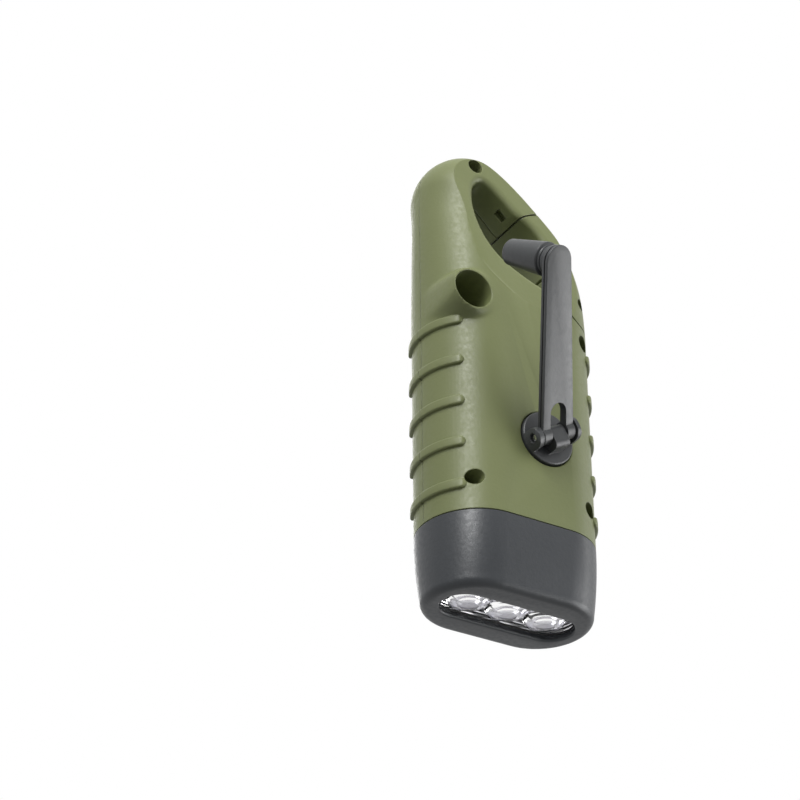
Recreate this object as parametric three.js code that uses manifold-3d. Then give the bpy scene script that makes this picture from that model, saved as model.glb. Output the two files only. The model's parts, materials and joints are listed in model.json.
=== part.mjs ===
// Hand crank torch with a solar panel, a carabiner loop and three lamps.
// It stands on its lens rim: +Z runs up to the tip of the loop, the solar panel faces -Y and the
// crank +Y. The closed spine of the loop is at +X and its gate at -X. Lengths are in millimetres.

import * as THREE from 'three';
import { mergeVertices } from 'three/addons/utils/BufferGeometryUtils.js';
import Module from 'manifold-3d';

const wasm = await Module();
wasm.setup();

// The body stacks up from the lens rim: cap, grip with the works inside, and loop
const capHeight = 21.5;
const gripHeight = 60.5;
const loopHeight = 62;
const bodyWidth = 52;
const bodyDepth = 34;
const wall = 2;
const fit = 0.3;
const overrun = 4;
const gripTop = capHeight + gripHeight;
const bodyLength = gripTop + loopHeight;
const halfWidth = bodyWidth / 2;
const halfDepth = bodyDepth / 2;

// Shoulders, where the flat faces round over into the sides
const shoulderSide = 16;
const shoulderTip = 12;
const shoulderGate = 7;
const shoulderSteps = 4;

// Outline of the loop. Its points are shares of the body's width and of the loop's height.
const spineShares = [0.74, 0.782];
const overShares = [[0.74, 1], [0.587, 1], [0.202, 0.742], [0.1, 0.492]];
const downShares = [[0.1, 0.492], [0.038, 0.34], [0, 0.161], [0, -0.065]];
const middleShares = [0.596, 0.613];
const spineSteps = 5;
const tipSteps = 8;
const overSteps = 11;
const downSteps = 6;

// Eye of the loop, and the ridge where its sunken floor begins, in the same shares
const eyeShares = [
  [0.277, 0.316], [0.315, 0.273], [0.394, 0.281], [0.529, 0.326], [0.644, 0.387], [0.723, 0.471],
  [0.773, 0.581], [0.788, 0.694], [0.769, 0.784], [0.719, 0.823], [0.658, 0.803], [0.577, 0.742],
  [0.512, 0.687], [0.435, 0.648], [0.362, 0.581], [0.31, 0.477], [0.281, 0.379],
];
const ridgeShares = [
  [0.827, 1.06], [0.913, 0.887], [0.927, 0.71], [0.9, 0.516], [0.817, 0.363], [0.673, 0.242],
  [0.5, 0.145], [0.231, 0.081],
];
const eyeSteps = 27;
const rimSteps = 2;
const eyeRound = 0.9;
const floorFootShare = 0.13;
const floorSlope = 5;
const floorCove = 2.6;

// Gate and its hinge. Angles are in degrees, from +X towards +Z.
const hingeShares = [0.144, 0.261];
const hingePinRadius = 1.4;
const knuckleRadius = 8;
const gateReach = 31.2;
const lugRadius = 4.4;
const lugHalf = 6.3;
const springRoom = 2.6;
const slotFrom = -92;
const slotTo = 10;
const gateLip = 26;
const shellLip = 4;
const neckFrom = -86;
const neckTo = -22;
const noseAngle = 30;
const hingePinFront = 0.8;
const hingePinRear = 5;
const grooveWidth = 0.8;
const grooveDepth = 0.7;
const grooveShare = 0.3;

// Two catch slots in the nose that meets the gate
const catchShares = [0.55, 0.72];
const catchSize = 3.4;
const catchWide = 2.6;
const catchDepth = 1.8;
const catchOut = 6.6;
const catchTilt = 45;

// Torsion spring round the gate's pin
const springWire = 0.7;
const springPitch = 1.15;
const springTurns = 3.5;
const springLeg = 1.6;
const springSteps = 8;
const springSides = 5;

// Grip ribs round the sides
const ribCount = 5;
const ribPitch = 13.03;
const ribFoot = 7.9;
const ribHeight = 3;
const ribProud = 0.9;
const ribBack = 13;
const ribFront = 10.4;

// Screws that join the shells: two in the loop, two low in the grip
const loopScrewShares = [[0.758, 0.897], [0.135, 0.055]];
const gripScrewInset = 7.6;
const gripScrewRise = 9.7;
const screwHole = 2.6;
const screwHead = 2.2;
const screwHeadHeight = 1.6;
const screwShank = 1.1;
const screwLand = 5;
const screwDeep = 8;
const screwPost = 3.6;

// Tongue of the front shell inside the rear shell's edge
const lipReach = 1.5;
const lipInset = 1.1;

// Head cap, with a slot for the lamps in its rim
const rimWidth = 49.8;
const rimDepth = 30;
const rimRound = 2.4;
const rimRings = 3;
const capRings = 3;
const spigotHeight = 3.5;
const spigotWall = 1.2;
const slotLength = 38.4;
const slotWidth = 14.6;
const slotDepth = 2;
const slotLedge = 0.8;
const tubeWall = 1.5;

// Lamps and their optics
const lampCount = 3;
const lampPitch = 12.1;
const lampRadius = 2.5;
const lampFlange = 2.9;
const lampFlangeHeight = 1;
const lampLength = 8.6;
const cupRadius = 5.7;
const cupFoot = 3;
const cupDepth = 7;
const cupSteps = 3;
const reflectorThick = 8;
const domeRadius = 5.2;
const domeHeight = 1.5;
const domeSteps = 3;
const lampSteps = 2;
const lensThick = 1.2;
const gasketThick = 0.7;
const gasketWidth = 1.2;
const lampBoardThick = 1.6;

// Solar panel: frame, window and cell
const panelX = 0.4;
const panelRise = 7.1;
const panelWidth = 32.4;
const panelHeight = 50.4;
const panelArch = 3.2;
const panelCorner = 3;
const panelProud = 1.5;
const panelSink = 3;
const panelBand = 1.4;
const windowX = 0.3;
const windowRise = 12.5;
const windowWidth = 21;
const windowHeight = 39.2;
const windowCorner = 1.6;
const windowThick = 0.9;
const windowSlope = 2;
const windowLedge = 0.5;
const cellThick = 0.9;
const trayWall = 1.1;
const trayDepth = 3;

// Crank hub in its shallow well, and its bearing
const hubX = -3.4;
const hubRise = 26.5;
const wellInset = 7.1;
const hubRadius = 8.7;
const hubSink = 2.3;
const hubProud = 1;
const hubRound = 0.5;
const pivotOut = 3.5;
const pivotBody = 2.3;
const cheekReach = 5;
const lugWidth = 5.2;
const bossWall = 1.3;
const bossShare = 0.706;
const shaftRadius = 4.2;
const hexRadius = 3.4;
const bushWall = 1.1;
const bushFlange = 7;
const bushFlangeThick = 0.8;
const foldPinRadius = 1;
const foldPinLength = 14.8;
const hubScrewShank = 1.2;
const hubScrewHead = 3.3;
const hubScrewHeight = 1;
const hubScrewLength = 5.3;

// Crank arm, measured from the fold pin to the knob
const armLength = 47.5;
const armThick = 4;
const armRoot = 11.5;
const armTip = 9;
const armLift = 38;
const armStep = 1.3;
const armStepInset = 0.6;
const armRim = 1.1;
const armRecess = 0.5;
const forkLength = 8.8;

// Knob on the end of the arm, and the collared well that it folds into
const knobBase = 4.5;
const knobEnd = 2.3;
const knobLength = 14.9;
const knobNeck = 0.7;
const knobNeckHeight = 0.8;
const knobRound = 0.8;
const knobPinRadius = 1;
const knobPinHead = 1.4;
const knobPinHeadHeight = 0.9;
const wellRadius = 5.5;
const wellFloor = 2;
const collarTop = 15.6;
const collarWall = 1.4;
const collarFlare = 0.4;
const collarFoot = 6;

// Gear train: each stage steps up by the ratio of wheel to pinion
const gearModule = 0.9;
const wheelTeeth = 24;
const pinionTeeth = 8;
const addendumShare = 0.78;
const dedendumShare = 1.2;
const toothTipShare = 0.24;
const toothRootShare = 0.62;
const bearings = [45, 140, 230];
const gearShare = 0.1118;
const stepShare = 0.203;
const pinionExtra = 0.25;
const firstShare = 0.503;
const axleRadius = 0.8;
const axleSeat = 2.2;
const axlePost = 2.2;
const plateShare = 0.047;
const plateThickShare = 0.0941;
const platePostRadius = 2.6;
const platePostReach = 14.5;
const platePostBearings = [[1, -60], [1, 75], [2, 135]];
const plateScrewShank = 0.9;
const plateScrewHead = 2;
const plateScrewHeight = 1;
const plateScrewDeep = 5.2;

// Dynamo: magnet on the last pinion, iron core and coil
const rotorHub = 2;
const magnetRadius = 5.8;
const magnetShare = 0.3176;
const axleHead = 1.6;
const axleHeadHeight = 0.8;
const coreGap = 0.7;
const coreShare = 0.2706;
const coreShoe = 2.1;
const coreArm = 2.6;
const coreReach = 17;
const coreLeg = 3;
const shoeAngle = 100;
const bobbinLength = 10.8;
const bobbinWall = 0.7;
const bobbinFlange = 4.2;
const coilShare = 0.0765;

// Main board, switch, button and cells
const boardShare = 0.1294;
const boardThick = 1.2;
const boardInsetWest = 8.6;
const boardInsetEast = 10;
const boardRise = 16.9;
const boardHeadroom = 4;
const boardPostRadius = 1.6;
const boardPostInset = 3;
const chipSize = 5;
const chipHeight = 1.1;
const switchWidth = 4;
const switchHeight = 6;
const switchReach = 8.7;
const plungerRadius = 1.5;
const plungerLength = 0.8;
const buttonOut = 3.9;
const buttonRise = 18.1;
const buttonRadius = 3.2;
const buttonFlange = 3.9;
const buttonFlangeThick = 0.9;
const buttonProud = 1.6;
const buttonDome = 0.9;
const buttonDomeShare = 0.55;
const buttonDepth = 4.1;
const buttonStem = 1.3;
const buttonStemLength = 1.5;
const buttonTravel = 0.7;
const cellCount = 3;
const cellRadius = 5.8;
const cellLength = 5.2;
const cellLift = 2.1;
const cellRise = 10.4;
const cellFoot = 4.6;
const cellFootHeight = 0.3;
const cradleThick = 1.2;

const palette = {
  green: { color: 0x6f7a4c, roughness: 0.62, metalness: 0 },
  black: { color: 0x3b3d42, roughness: 0.5, metalness: 0 },
  clear: { color: 0xe8edf0, roughness: 0.08, metalness: 0 },
  chrome: { color: 0xc9ccd1, roughness: 0.15, metalness: 1 },
  steel: { color: 0xb4b6b8, roughness: 0.32, metalness: 1 },
  copperCell: { color: 0xa8704c, roughness: 0.3, metalness: 0.2 },
  rubber: { color: 0x1d1d1f, roughness: 0.8, metalness: 0 },
  board: { color: 0x2f5f3a, roughness: 0.5, metalness: 0 },
  nylon: { color: 0xdedbd0, roughness: 0.55, metalness: 0 },
  copper: { color: 0xb06a3a, roughness: 0.35, metalness: 0.9 },
  magnet: { color: 0x4a4c50, roughness: 0.6, metalness: 0.3 },
};

const radians = THREE.MathUtils.degToRad;
const smooth = THREE.MathUtils.smoothstep;
const vector = (x, y) => new THREE.Vector2(x, y);
const origin = [0, 0, 0];

// Signed volume of a closed mesh
function volumeOf(points, faces) {
  const corner = i => new THREE.Vector3().fromArray(points, i * 3);
  let sum = 0;
  for (let i = 0; i < faces.length; i += 3) {
    sum += corner(faces[i]).dot(corner(faces[i + 1]).cross(corner(faces[i + 2])));
  }
  return sum / 6;
}

// A three.js geometry as a solid, turned the right way out
function solid(geometry) {
  geometry.deleteAttribute('normal');
  geometry.deleteAttribute('uv');
  const merged = mergeVertices(geometry, fit / 1e4);
  const points = new Float32Array(merged.attributes.position.array);
  const faces = new Uint32Array(merged.index.array);
  if (volumeOf(points, faces) < 0) {
    for (let i = 0; i < faces.length; i += 3) [faces[i], faces[i + 1]] = [faces[i + 1], faces[i]];
  }
  return new wasm.Manifold(new wasm.Mesh({ numProp: 3, vertProperties: points, triVerts: faces }));
}

// A solid back as a geometry
function surface(body) {
  const mesh = body.getMesh();
  const geometry = new THREE.BufferGeometry();
  const points = new THREE.BufferAttribute(new Float32Array(mesh.vertProperties), 3);
  geometry.setAttribute('position', points);
  geometry.setIndex(new THREE.BufferAttribute(new Uint32Array(mesh.triVerts), 1));
  geometry.computeVertexNormals();
  return geometry;
}

function join(...bodies) {
  return bodies.reduce((sum, body) => sum.add(body));
}

function cut(body, ...tools) {
  return tools.reduce((rest, tool) => rest.subtract(tool), body);
}

// The biggest piece of a solid that a cut has parted
function largest(body) {
  const size = piece => {
    const mesh = piece.getMesh();
    return volumeOf(mesh.vertProperties, mesh.triVerts);
  };
  return body.decompose().reduce((best, piece) => (size(piece) > size(best) ? piece : best));
}

// Outlines

function shapeOf(points) {
  return new THREE.Shape(points.map(([x, y]) => vector(x, y)));
}

function stadium(length, width, x = 0, y = 0) {
  const radius = width / 2;
  const reach = length / 2 - radius;
  const shape = new THREE.Shape();
  shape.absarc(x + reach, y, radius, -Math.PI / 2, Math.PI / 2);
  shape.absarc(x - reach, y, radius, Math.PI / 2, Math.PI * 1.5);
  return shape;
}

function roundedBox(west, foot, width, height, radius) {
  const east = west + width;
  const top = foot + height;
  const shape = new THREE.Shape();
  shape.absarc(east - radius, foot + radius, radius, -Math.PI / 2, 0);
  shape.absarc(east - radius, top - radius, radius, 0, Math.PI / 2);
  shape.absarc(west + radius, top - radius, radius, Math.PI / 2, Math.PI);
  shape.absarc(west + radius, foot + radius, radius, Math.PI, Math.PI * 1.5);
  return shape;
}

function sector([x, y], inner, outer, from, to) {
  const shape = new THREE.Shape();
  shape.absarc(x, y, outer, radians(from), radians(to));
  shape.absarc(x, y, inner, radians(to), radians(from), true);
  return shape;
}

// Solids along an axis: an outline along X is drawn in y and z, one along Y in x and z
const axisTurn = {
  x: new THREE.Matrix4().set(0, 0, 1, 0, 1, 0, 0, 0, 0, 1, 0, 0, 0, 0, 0, 1),
  y: new THREE.Matrix4().set(1, 0, 0, 0, 0, 0, 1, 0, 0, 1, 0, 0, 0, 0, 0, 1),
  z: new THREE.Matrix4(),
};

function prism(axis, shape, from, to, curveSegments = 6) {
  const depth = to - from;
  const geometry = new THREE.ExtrudeGeometry(shape, { depth, bevelEnabled: false, curveSegments });
  geometry.translate(0, 0, from);
  geometry.applyMatrix4(axisTurn[axis]);
  return solid(geometry);
}

// A turned solid. Each point of the profile is a radius and a place along the axis.
function turned(axis, profile, [x, y, z], segments = 16) {
  const geometry = new THREE.LatheGeometry(profile.map(([r, h]) => vector(r, h)), segments);
  geometry.rotateX(Math.PI / 2);
  geometry.applyMatrix4(axisTurn[axis]);
  geometry.translate(x, y, z);
  return solid(geometry);
}

function rod(axis, radius, from, to, place, segments = 16) {
  return turned(axis, [[0, from], [radius, from], [radius, to], [0, to]], place, segments);
}

// A plain rod with a wider head at its first end
function headed(axis, head, height, radius, from, to, place) {
  const neck = from + height;
  const profile = [[0, from], [head, from], [head, neck], [radius, neck], [radius, to], [0, to]];
  return turned(axis, profile, place, 8);
}

function rods(places, radius, from, to, segments = 10) {
  return join(...places.map(([x, z]) => rod('y', radius, from, to, [x, 0, z], segments)));
}

function block([west, east], [front, back], [foot, top]) {
  const geometry = new THREE.BoxGeometry(east - west, back - front, top - foot);
  geometry.translate((east + west) / 2, (front + back) / 2, (top + foot) / 2);
  return solid(geometry);
}

// Rings of points joined into one skin, with both ends closed by flat faces in two of the coordinates
function skin(rings, flat) {
  const count = rings[0].length;
  const last = (rings.length - 1) * count;
  const faces = [];
  for (let k = 0; k < last; k += count) {
    for (let i = 0; i < count; i += 1) {
      const j = (i + 1) % count;
      faces.push(k + i, k + j, k + j + count, k + i, k + j + count, k + i + count);
    }
  }
  const close = (ring, first, start) => {
    const face = ring.map(p => vector(p[flat[0]], p[flat[1]]));
    const flip = start !== THREE.ShapeUtils.isClockWise(face);
    for (const [a, b, c] of THREE.ShapeUtils.triangulateShape(face, [])) {
      faces.push(first + a, first + (flip ? c : b), first + (flip ? b : c));
    }
  };
  close(rings[0], 0, true);
  close(rings.at(-1), last, false);
  const geometry = new THREE.BufferGeometry();
  geometry.setAttribute('position', new THREE.Float32BufferAttribute(rings.flat(2), 3));
  geometry.setIndex(faces);
  return solid(geometry);
}

// Body moulding: one pillow shape, which every inset and boundary of the shells follows

function onLoop([across, up]) {
  return vector(across * bodyWidth - halfWidth, gripTop + up * loopHeight);
}

// From the foot of the spine side, over the tip and down the gate side
function bodyOutline(inset) {
  const foot = vector(halfWidth, capHeight - overrun);
  const start = vector(halfWidth, gripTop);
  const round = onLoop(spineShares);
  const points = [foot];
  for (let i = 0; i < spineSteps; i += 1) {
    points.push(vector(halfWidth, start.y + (round.y - start.y) * i / spineSteps));
  }
  const [wide, high] = [halfWidth - round.x, bodyLength - round.y];
  const tip = new THREE.EllipseCurve(round.x, round.y, wide, high, 0, Math.PI / 2);
  const over = new THREE.CubicBezierCurve(...overShares.map(onLoop));
  const down = new THREE.CubicBezierCurve(...downShares.map(onLoop));
  points.push(...tip.getSpacedPoints(tipSteps).slice(0, -1));
  points.push(...over.getSpacedPoints(overSteps).slice(0, -1));
  points.push(...down.getSpacedPoints(downSteps), vector(-halfWidth, foot.y));
  return points.map((point, i) => {
    const before = points[Math.max(i - 1, 0)];
    const after = points[Math.min(i + 1, points.length - 1)];
    const run = after.clone().sub(before).normalize();
    return vector(point.x - run.y * inset, point.y + run.x * inset);
  });
}

// Width of the rounded shoulder at a place on the outline
function shoulderAt(point) {
  const gateSide = 1 - smooth(point.x, -halfWidth / 4, halfWidth / 2);
  const onGate = smooth(point.y, gripTop - overrun, onLoop(hingeShares).y + knuckleRadius) * gateSide;
  const onTip = smooth(point.y, onLoop(middleShares).y, bodyLength) * (1 - gateSide);
  return shoulderSide + (shoulderGate - shoulderSide) * onGate + (shoulderTip - shoulderSide) * onTip;
}

// The line that the skin draws in towards: up the middle of the grip and into the loop
function middleAt(point) {
  const end = onLoop(middleShares);
  const lean = smooth(point.y, gripTop - overrun, end.y) * end.x;
  return vector(lean, Math.min(point.y, end.y));
}

// The body's shape, drawn in by an inset or grown by a negative one
function pillow(inset) {
  const outline = bodyOutline(inset);
  const rings = [];
  for (let k = -shoulderSteps; k <= shoulderSteps; k += 1) {
    const angle = Math.PI / 2 * k / shoulderSteps;
    const y = (halfDepth - inset) * Math.sin(angle);
    rings.push(outline.map(point => {
      const reach = (shoulderAt(point) - inset / 2) * (1 - Math.cos(angle));
      const drawn = point.clone().add(middleAt(point).sub(point).setLength(reach));
      return [drawn.x, y, drawn.y];
    }));
  }
  return skin(rings, [0, 2]);
}

// A straight block with the body's outline
function outlineBlock(inset, front, back) {
  return prism('y', new THREE.Shape(bodyOutline(inset)), front, back);
}

// Sunken floor round the eye: how far out the face is at a height
const floorFoot = gripTop + loopHeight * floorFootShare;

function faceAt(z) {
  return halfDepth - Math.max(z - floorFoot, 0) * Math.tan(radians(floorSlope));
}

// Tool that sinks the floor on one side, with a cove along the ridge
function floorTool(side) {
  const ridge = new THREE.SplineCurve(ridgeShares.map(onLoop)).getPoints(ridgeShares.length * 2);
  const far = -bodyWidth;
  const top = bodyLength + overrun;
  const outside = [vector(far, ridge.at(-1).y), vector(far, top), vector(ridge[0].x, top)];
  const shape = new THREE.Shape([...ridge, ...outside]);
  const geometry = new THREE.ExtrudeGeometry(shape, {
    depth: overrun, bevelSegments: 2, bevelThickness: floorCove, bevelSize: floorCove,
  });
  geometry.translate(0, 0, floorCove);
  const place = geometry.attributes.position;
  for (let i = 0; i < place.count; i += 1) {
    const z = place.getY(i);
    const low = Math.min(z - floorFoot, 0) * Math.tan(radians(floorSlope));
    place.setXYZ(i, place.getX(i), side * (faceAt(z) - low + place.getZ(i)), z);
  }
  return solid(geometry);
}

function eyePoints() {
  const points = eyeShares.map(onLoop).map(({ x, y }) => new THREE.Vector3(x, y, 0));
  const curve = new THREE.CatmullRomCurve3(points, true);
  return curve.getSpacedPoints(eyeSteps).slice(0, -1).map(p => vector(p.x, p.y));
}

// Tool that rounds the eye's rim over on one side
function eyeRimTool(side) {
  const points = eyePoints();
  const count = points.length;
  const rings = [];
  for (let k = 0; k <= rimSteps + 1; k += 1) {
    const angle = Math.PI / 2 * Math.min(k / rimSteps, 1);
    const spread = eyeRound * (1 - Math.cos(angle));
    const lift = k > rimSteps ? overrun : eyeRound * (Math.sin(angle) - 1);
    rings.push(points.map((point, i) => {
      const run = points[(i + 1) % count].clone().sub(points[(i + count - 1) % count]).normalize();
      const z = point.y - run.x * spread;
      return [point.x + run.y * spread, side * (faceAt(z) + lift), z];
    }));
  }
  return skin(rings, [0, 2]);
}

const tilt = Math.asin((halfWidth - wellInset - hubX) / armLength);
const hub = [hubX, capHeight + hubRise];
const hubFloor = halfDepth - hubSink;
const bossFoot = bossShare * halfDepth;
const well = [hub[0] + armLength * Math.sin(tilt), hub[1] + armLength * Math.cos(tilt)];

function ribs() {
  const bars = [];
  for (let i = 0; i < ribCount; i += 1) {
    const rise = capHeight + ribFoot + i * ribPitch;
    const outline = stadium(ribBack + ribFront, ribHeight, (ribBack - ribFront) / 2, rise);
    bars.push(prism('x', outline, -bodyWidth, bodyWidth, 3));
  }
  return pillow(-ribProud).intersect(join(...bars));
}

function wellCollar() {
  const outer = wellRadius + collarWall;
  const middle = collarTop / 2;
  const edge = [[outer, collarTop - collarFlare], [outer - collarFlare, collarTop], [0, collarTop]];
  const profile = [[0, 0], [collarFoot, 0], [outer + collarFlare, middle], ...edge];
  return turned('y', profile, [well[0], 0, well[1]], 22);
}

function moulding() {
  const skinned = cut(pillow(0), floorTool(1), floorTool(-1));
  const eye = prism('y', new THREE.Shape(eyePoints()), -bodyDepth, bodyDepth);
  const below = block([-bodyWidth, bodyWidth], [-bodyDepth, bodyDepth], [-overrun, capHeight + fit / 2]);
  return cut(join(skinned, ribs(), wellCollar()), eye, eyeRimTool(1), eyeRimTool(-1), below);
}

// Gate: the part of the loop between an arc round its knuckle and an arc at its nose

const hinge = onLoop(hingeShares);
const hingeAt = [hinge.x, 0, hinge.y];

function aroundHinge(outer, from, to) {
  return sector([hinge.x, hinge.y], lugRadius / 2, outer, from, to);
}

function gateRegion(gap, from) {
  const knuckle = knuckleRadius + gap;
  const reach = gateReach + gap;
  const [low, high] = [eyeShares[0], eyeShares[11]].map(onLoop);
  const shape = new THREE.Shape();
  shape.absarc(hinge.x, hinge.y, knuckle, radians(from), radians(-90), true);
  shape.lineTo(-bodyWidth, hinge.y - knuckle);
  shape.lineTo(-bodyWidth, hinge.y + reach);
  shape.lineTo(hinge.x, hinge.y + reach);
  shape.absarc(hinge.x, hinge.y, reach, Math.PI / 2, radians(noseAngle), true);
  shape.lineTo(high.x, low.y + knuckleRadius);
  return prism('y', shape, -bodyDepth, bodyDepth, 10);
}

function gate(body) {
  const slotHalf = lugHalf + fit;
  const slot = join(
    rod('y', lugRadius + fit, -slotHalf, slotHalf, hingeAt, 20),
    prism('y', aroundHinge(knuckleRadius + fit, slotFrom, slotTo), -slotHalf, slotHalf),
  );
  const bore = rod('y', hingePinRadius + fit, -bodyDepth, bodyDepth, hingeAt);
  const [from, to] = [eyeShares[15], eyeShares[0]].map(onLoop);
  const mid = from.clone().lerp(to, grooveShare);
  const groove = block([mid.x - overrun, mid.x + overrun], [-bodyDepth, bodyDepth],
    [mid.y - grooveWidth / 2, mid.y + grooveWidth / 2])
    .intersect(cut(outlineBlock(0, -bodyDepth, bodyDepth),
      rod('y', mid.distanceTo(hinge) - grooveDepth, -bodyDepth, bodyDepth, hingeAt, 24)));
  return largest(cut(body.intersect(gateRegion(-fit / 2, gateLip)), slot, bore, groove));
}

function gatePin() {
  const face = faceAt(hinge.y);
  return rod('y', hingePinRadius, hingePinFront - face, face - hingePinRear, hingeAt);
}

// One wire from leg to leg. The least gap to itself is measured between points a turn or more apart.
function gateSpring() {
  const radius = hingePinRadius + fit + springWire;
  const rise = springPitch * springTurns;
  const count = springTurns * springSteps;
  const at = i => {
    const angle = Math.PI * 2 * i / springSteps;
    const y = rise * (i / count - 1 / 2);
    return new THREE.Vector3(hinge.x + radius * Math.cos(angle), y, hinge.y + radius * Math.sin(angle));
  };
  const path = [];
  for (let i = 0; i <= count; i += 1) path.push(at(i));
  const leg = (end, next) => end.clone().add(end.clone().sub(next).setY(0).setLength(springLeg));
  path.unshift(leg(path[0], path[1]));
  path.push(leg(path.at(-1), path.at(-2)));
  let gap = Infinity;
  path.forEach((p, i) => path.slice(i + springSteps / 2).forEach(q => {
    gap = Math.min(gap, p.distanceTo(q) - springWire);
  }));
  console.log('gate spring: least gap to itself', gap.toFixed(2), 'mm');
  const across = new THREE.Vector3(0, 1, 0);
  const rings = path.map((p, i) => {
    const [before, after] = [path[Math.max(i - 1, 0)], path[Math.min(i + 1, path.length - 1)]];
    const along = after.clone().sub(before).normalize();
    const out = new THREE.Vector3().crossVectors(along, across).normalize();
    const up = new THREE.Vector3().crossVectors(out, along);
    const ring = [];
    for (let k = 0; k < springSides; k += 1) {
      const angle = Math.PI * 2 * k / springSides;
      const side = out.clone().multiplyScalar(Math.cos(angle)).addScaledVector(up, Math.sin(angle));
      ring.push(p.clone().addScaledVector(side, springWire / 2).toArray());
    }
    return ring;
  });
  return skin(rings, [0, 1]);
}

// Lugs of the shells between the gate's cheeks, parted in the middle for the spring
function hingeLugs() {
  const outline = aroundHinge(knuckleRadius + fit * 2, neckFrom, neckTo);
  const eye = rod('y', lugRadius, -lugHalf, lugHalf, hingeAt, 20);
  return cut(join(eye, prism('y', outline, -lugHalf, lugHalf)),
    rod('y', lugRadius + fit, -springRoom, springRoom, hingeAt, 20),
    rod('y', hingePinRadius + fit, -bodyDepth, bodyDepth, hingeAt));
}

function catches() {
  const at = onLoop(catchShares);
  return join(...[-1, 1].map(side => {
    const geometry = new THREE.BoxGeometry(catchSize, catchWide, catchDepth * 2);
    geometry.rotateY(-radians(catchTilt));
    geometry.translate(at.x, side * catchOut, at.y);
    return solid(geometry);
  }));
}

// Screws and their places in x and z

const gripScrews = [1, -1].map(side => [side * (halfWidth - gripScrewInset), capHeight + gripScrewRise]);
const loopScrews = loopScrewShares.map(share => onLoop(share).toArray());
const shellScrewPlaces = [...loopScrews, ...gripScrews];

function shellScrew([x, z]) {
  const head = screwLand + fit + screwHeadHeight;
  return headed('y', screwHead, -screwHeadHeight, screwShank, head, -screwDeep, [x, 0, z]);
}

function plateScrew([x, z]) {
  const head = plateFoot - fit - plateScrewHeight;
  return headed('y', plateScrewHead, plateScrewHeight, plateScrewShank, head, plateScrewDeep, [x, 0, z]);
}

// Gear places: each stage lies on a bearing from the one before, a centre distance away

const gearDistance = gearModule * (wheelTeeth + pinionTeeth) / 2;
const gearPlaces = [hub];
bearings.forEach((bearing, i) => {
  const [x, z] = gearPlaces[i];
  const line = vector(gearDistance, 0).rotateAround(vector(0, 0), radians(bearing));
  gearPlaces.push([x + line.x, z + line.y]);
});
const [, firstPlace, secondPlace, rotorPlace] = gearPlaces;
const axlePlaces = gearPlaces.slice(1);
const gearThick = gearShare * halfDepth;
const firstLayer = firstShare * halfDepth;
const layerFeet = [0, 1, 2].map(i => firstLayer - stepShare * halfDepth * i);
const layers = layerFeet.map(foot => [foot, foot + gearThick]);
const postFoot = firstLayer + gearThick + pinionExtra + fit;
const plateTop = plateShare * halfDepth;
const plateFoot = plateTop - plateThickShare * halfDepth;
const platePosts = platePostBearings.map(([stage, bearing]) => {
  const line = vector(platePostReach, 0).rotateAround(vector(0, 0), radians(bearing));
  return [gearPlaces[stage][0] + line.x, gearPlaces[stage][1] + line.y];
});

// Shells

function room() {
  const low = block([-bodyWidth, bodyWidth], [-bodyDepth, bodyDepth], [-overrun, gripTop]);
  return pillow(wall).intersect(low);
}

function halfSpace(side) {
  const ends = side > 0 ? [fit / 2, bodyDepth] : [-bodyDepth, -fit / 2];
  return block([-bodyWidth, bodyWidth], ends, [-overrun, bodyLength + overrun]);
}

// Band along the shells' edge in the grip, where tongue and rebate run
function edgeBand(inset, front, back) {
  const top = gripTop + wall - inset;
  const above = block([-bodyWidth, bodyWidth], [-bodyDepth, bodyDepth], [top, bodyLength * 2]);
  return cut(outlineBlock(inset, front, back), above);
}

function rearShell(body) {
  const inside = join(
    rods(gripScrews, screwPost, 0, halfDepth),
    rod('y', hubRadius + fit + bossWall, bossFoot, halfDepth, [hub[0], 0, hub[1]], 20),
    rods(axlePlaces, axlePost, postFoot, halfDepth),
    rods(platePosts, platePostRadius, plateTop + fit, halfDepth),
  ).intersect(pillow(wall / 2));
  const shell = join(cut(body, gateRegion(fit / 2, shellLip)), hingeLugs()).intersect(halfSpace(1));
  const rebate = cut(edgeBand(lipInset - fit, 0, lipReach + fit), rods(gripScrews, screwPost, 0, halfDepth));
  return largest(cut(shell, cut(room(), inside), rebate, catches(),
    rods(shellScrewPlaces, screwHole, screwLand, bodyDepth),
    rods(shellScrewPlaces, screwShank + fit, -bodyDepth, screwLand + fit),
    rod('y', hubRadius + fit, hubFloor, bodyDepth, [hub[0], 0, hub[1]], 28),
    rod('y', shaftRadius + bushWall + fit * 2, 0, halfDepth, [hub[0], 0, hub[1]], 16),
    rod('y', wellRadius, wellFloor, bodyDepth, [well[0], 0, well[1]], 22),
    rods(axlePlaces, axleRadius + fit, postFoot - fit, postFoot + axleSeat + fit, 10),
    rods(platePosts, plateScrewShank + fit, 0, plateScrewDeep + fit, 10),
    rod('y', hingePinRadius + fit, -bodyDepth, bodyDepth, hingeAt)));
}

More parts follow.
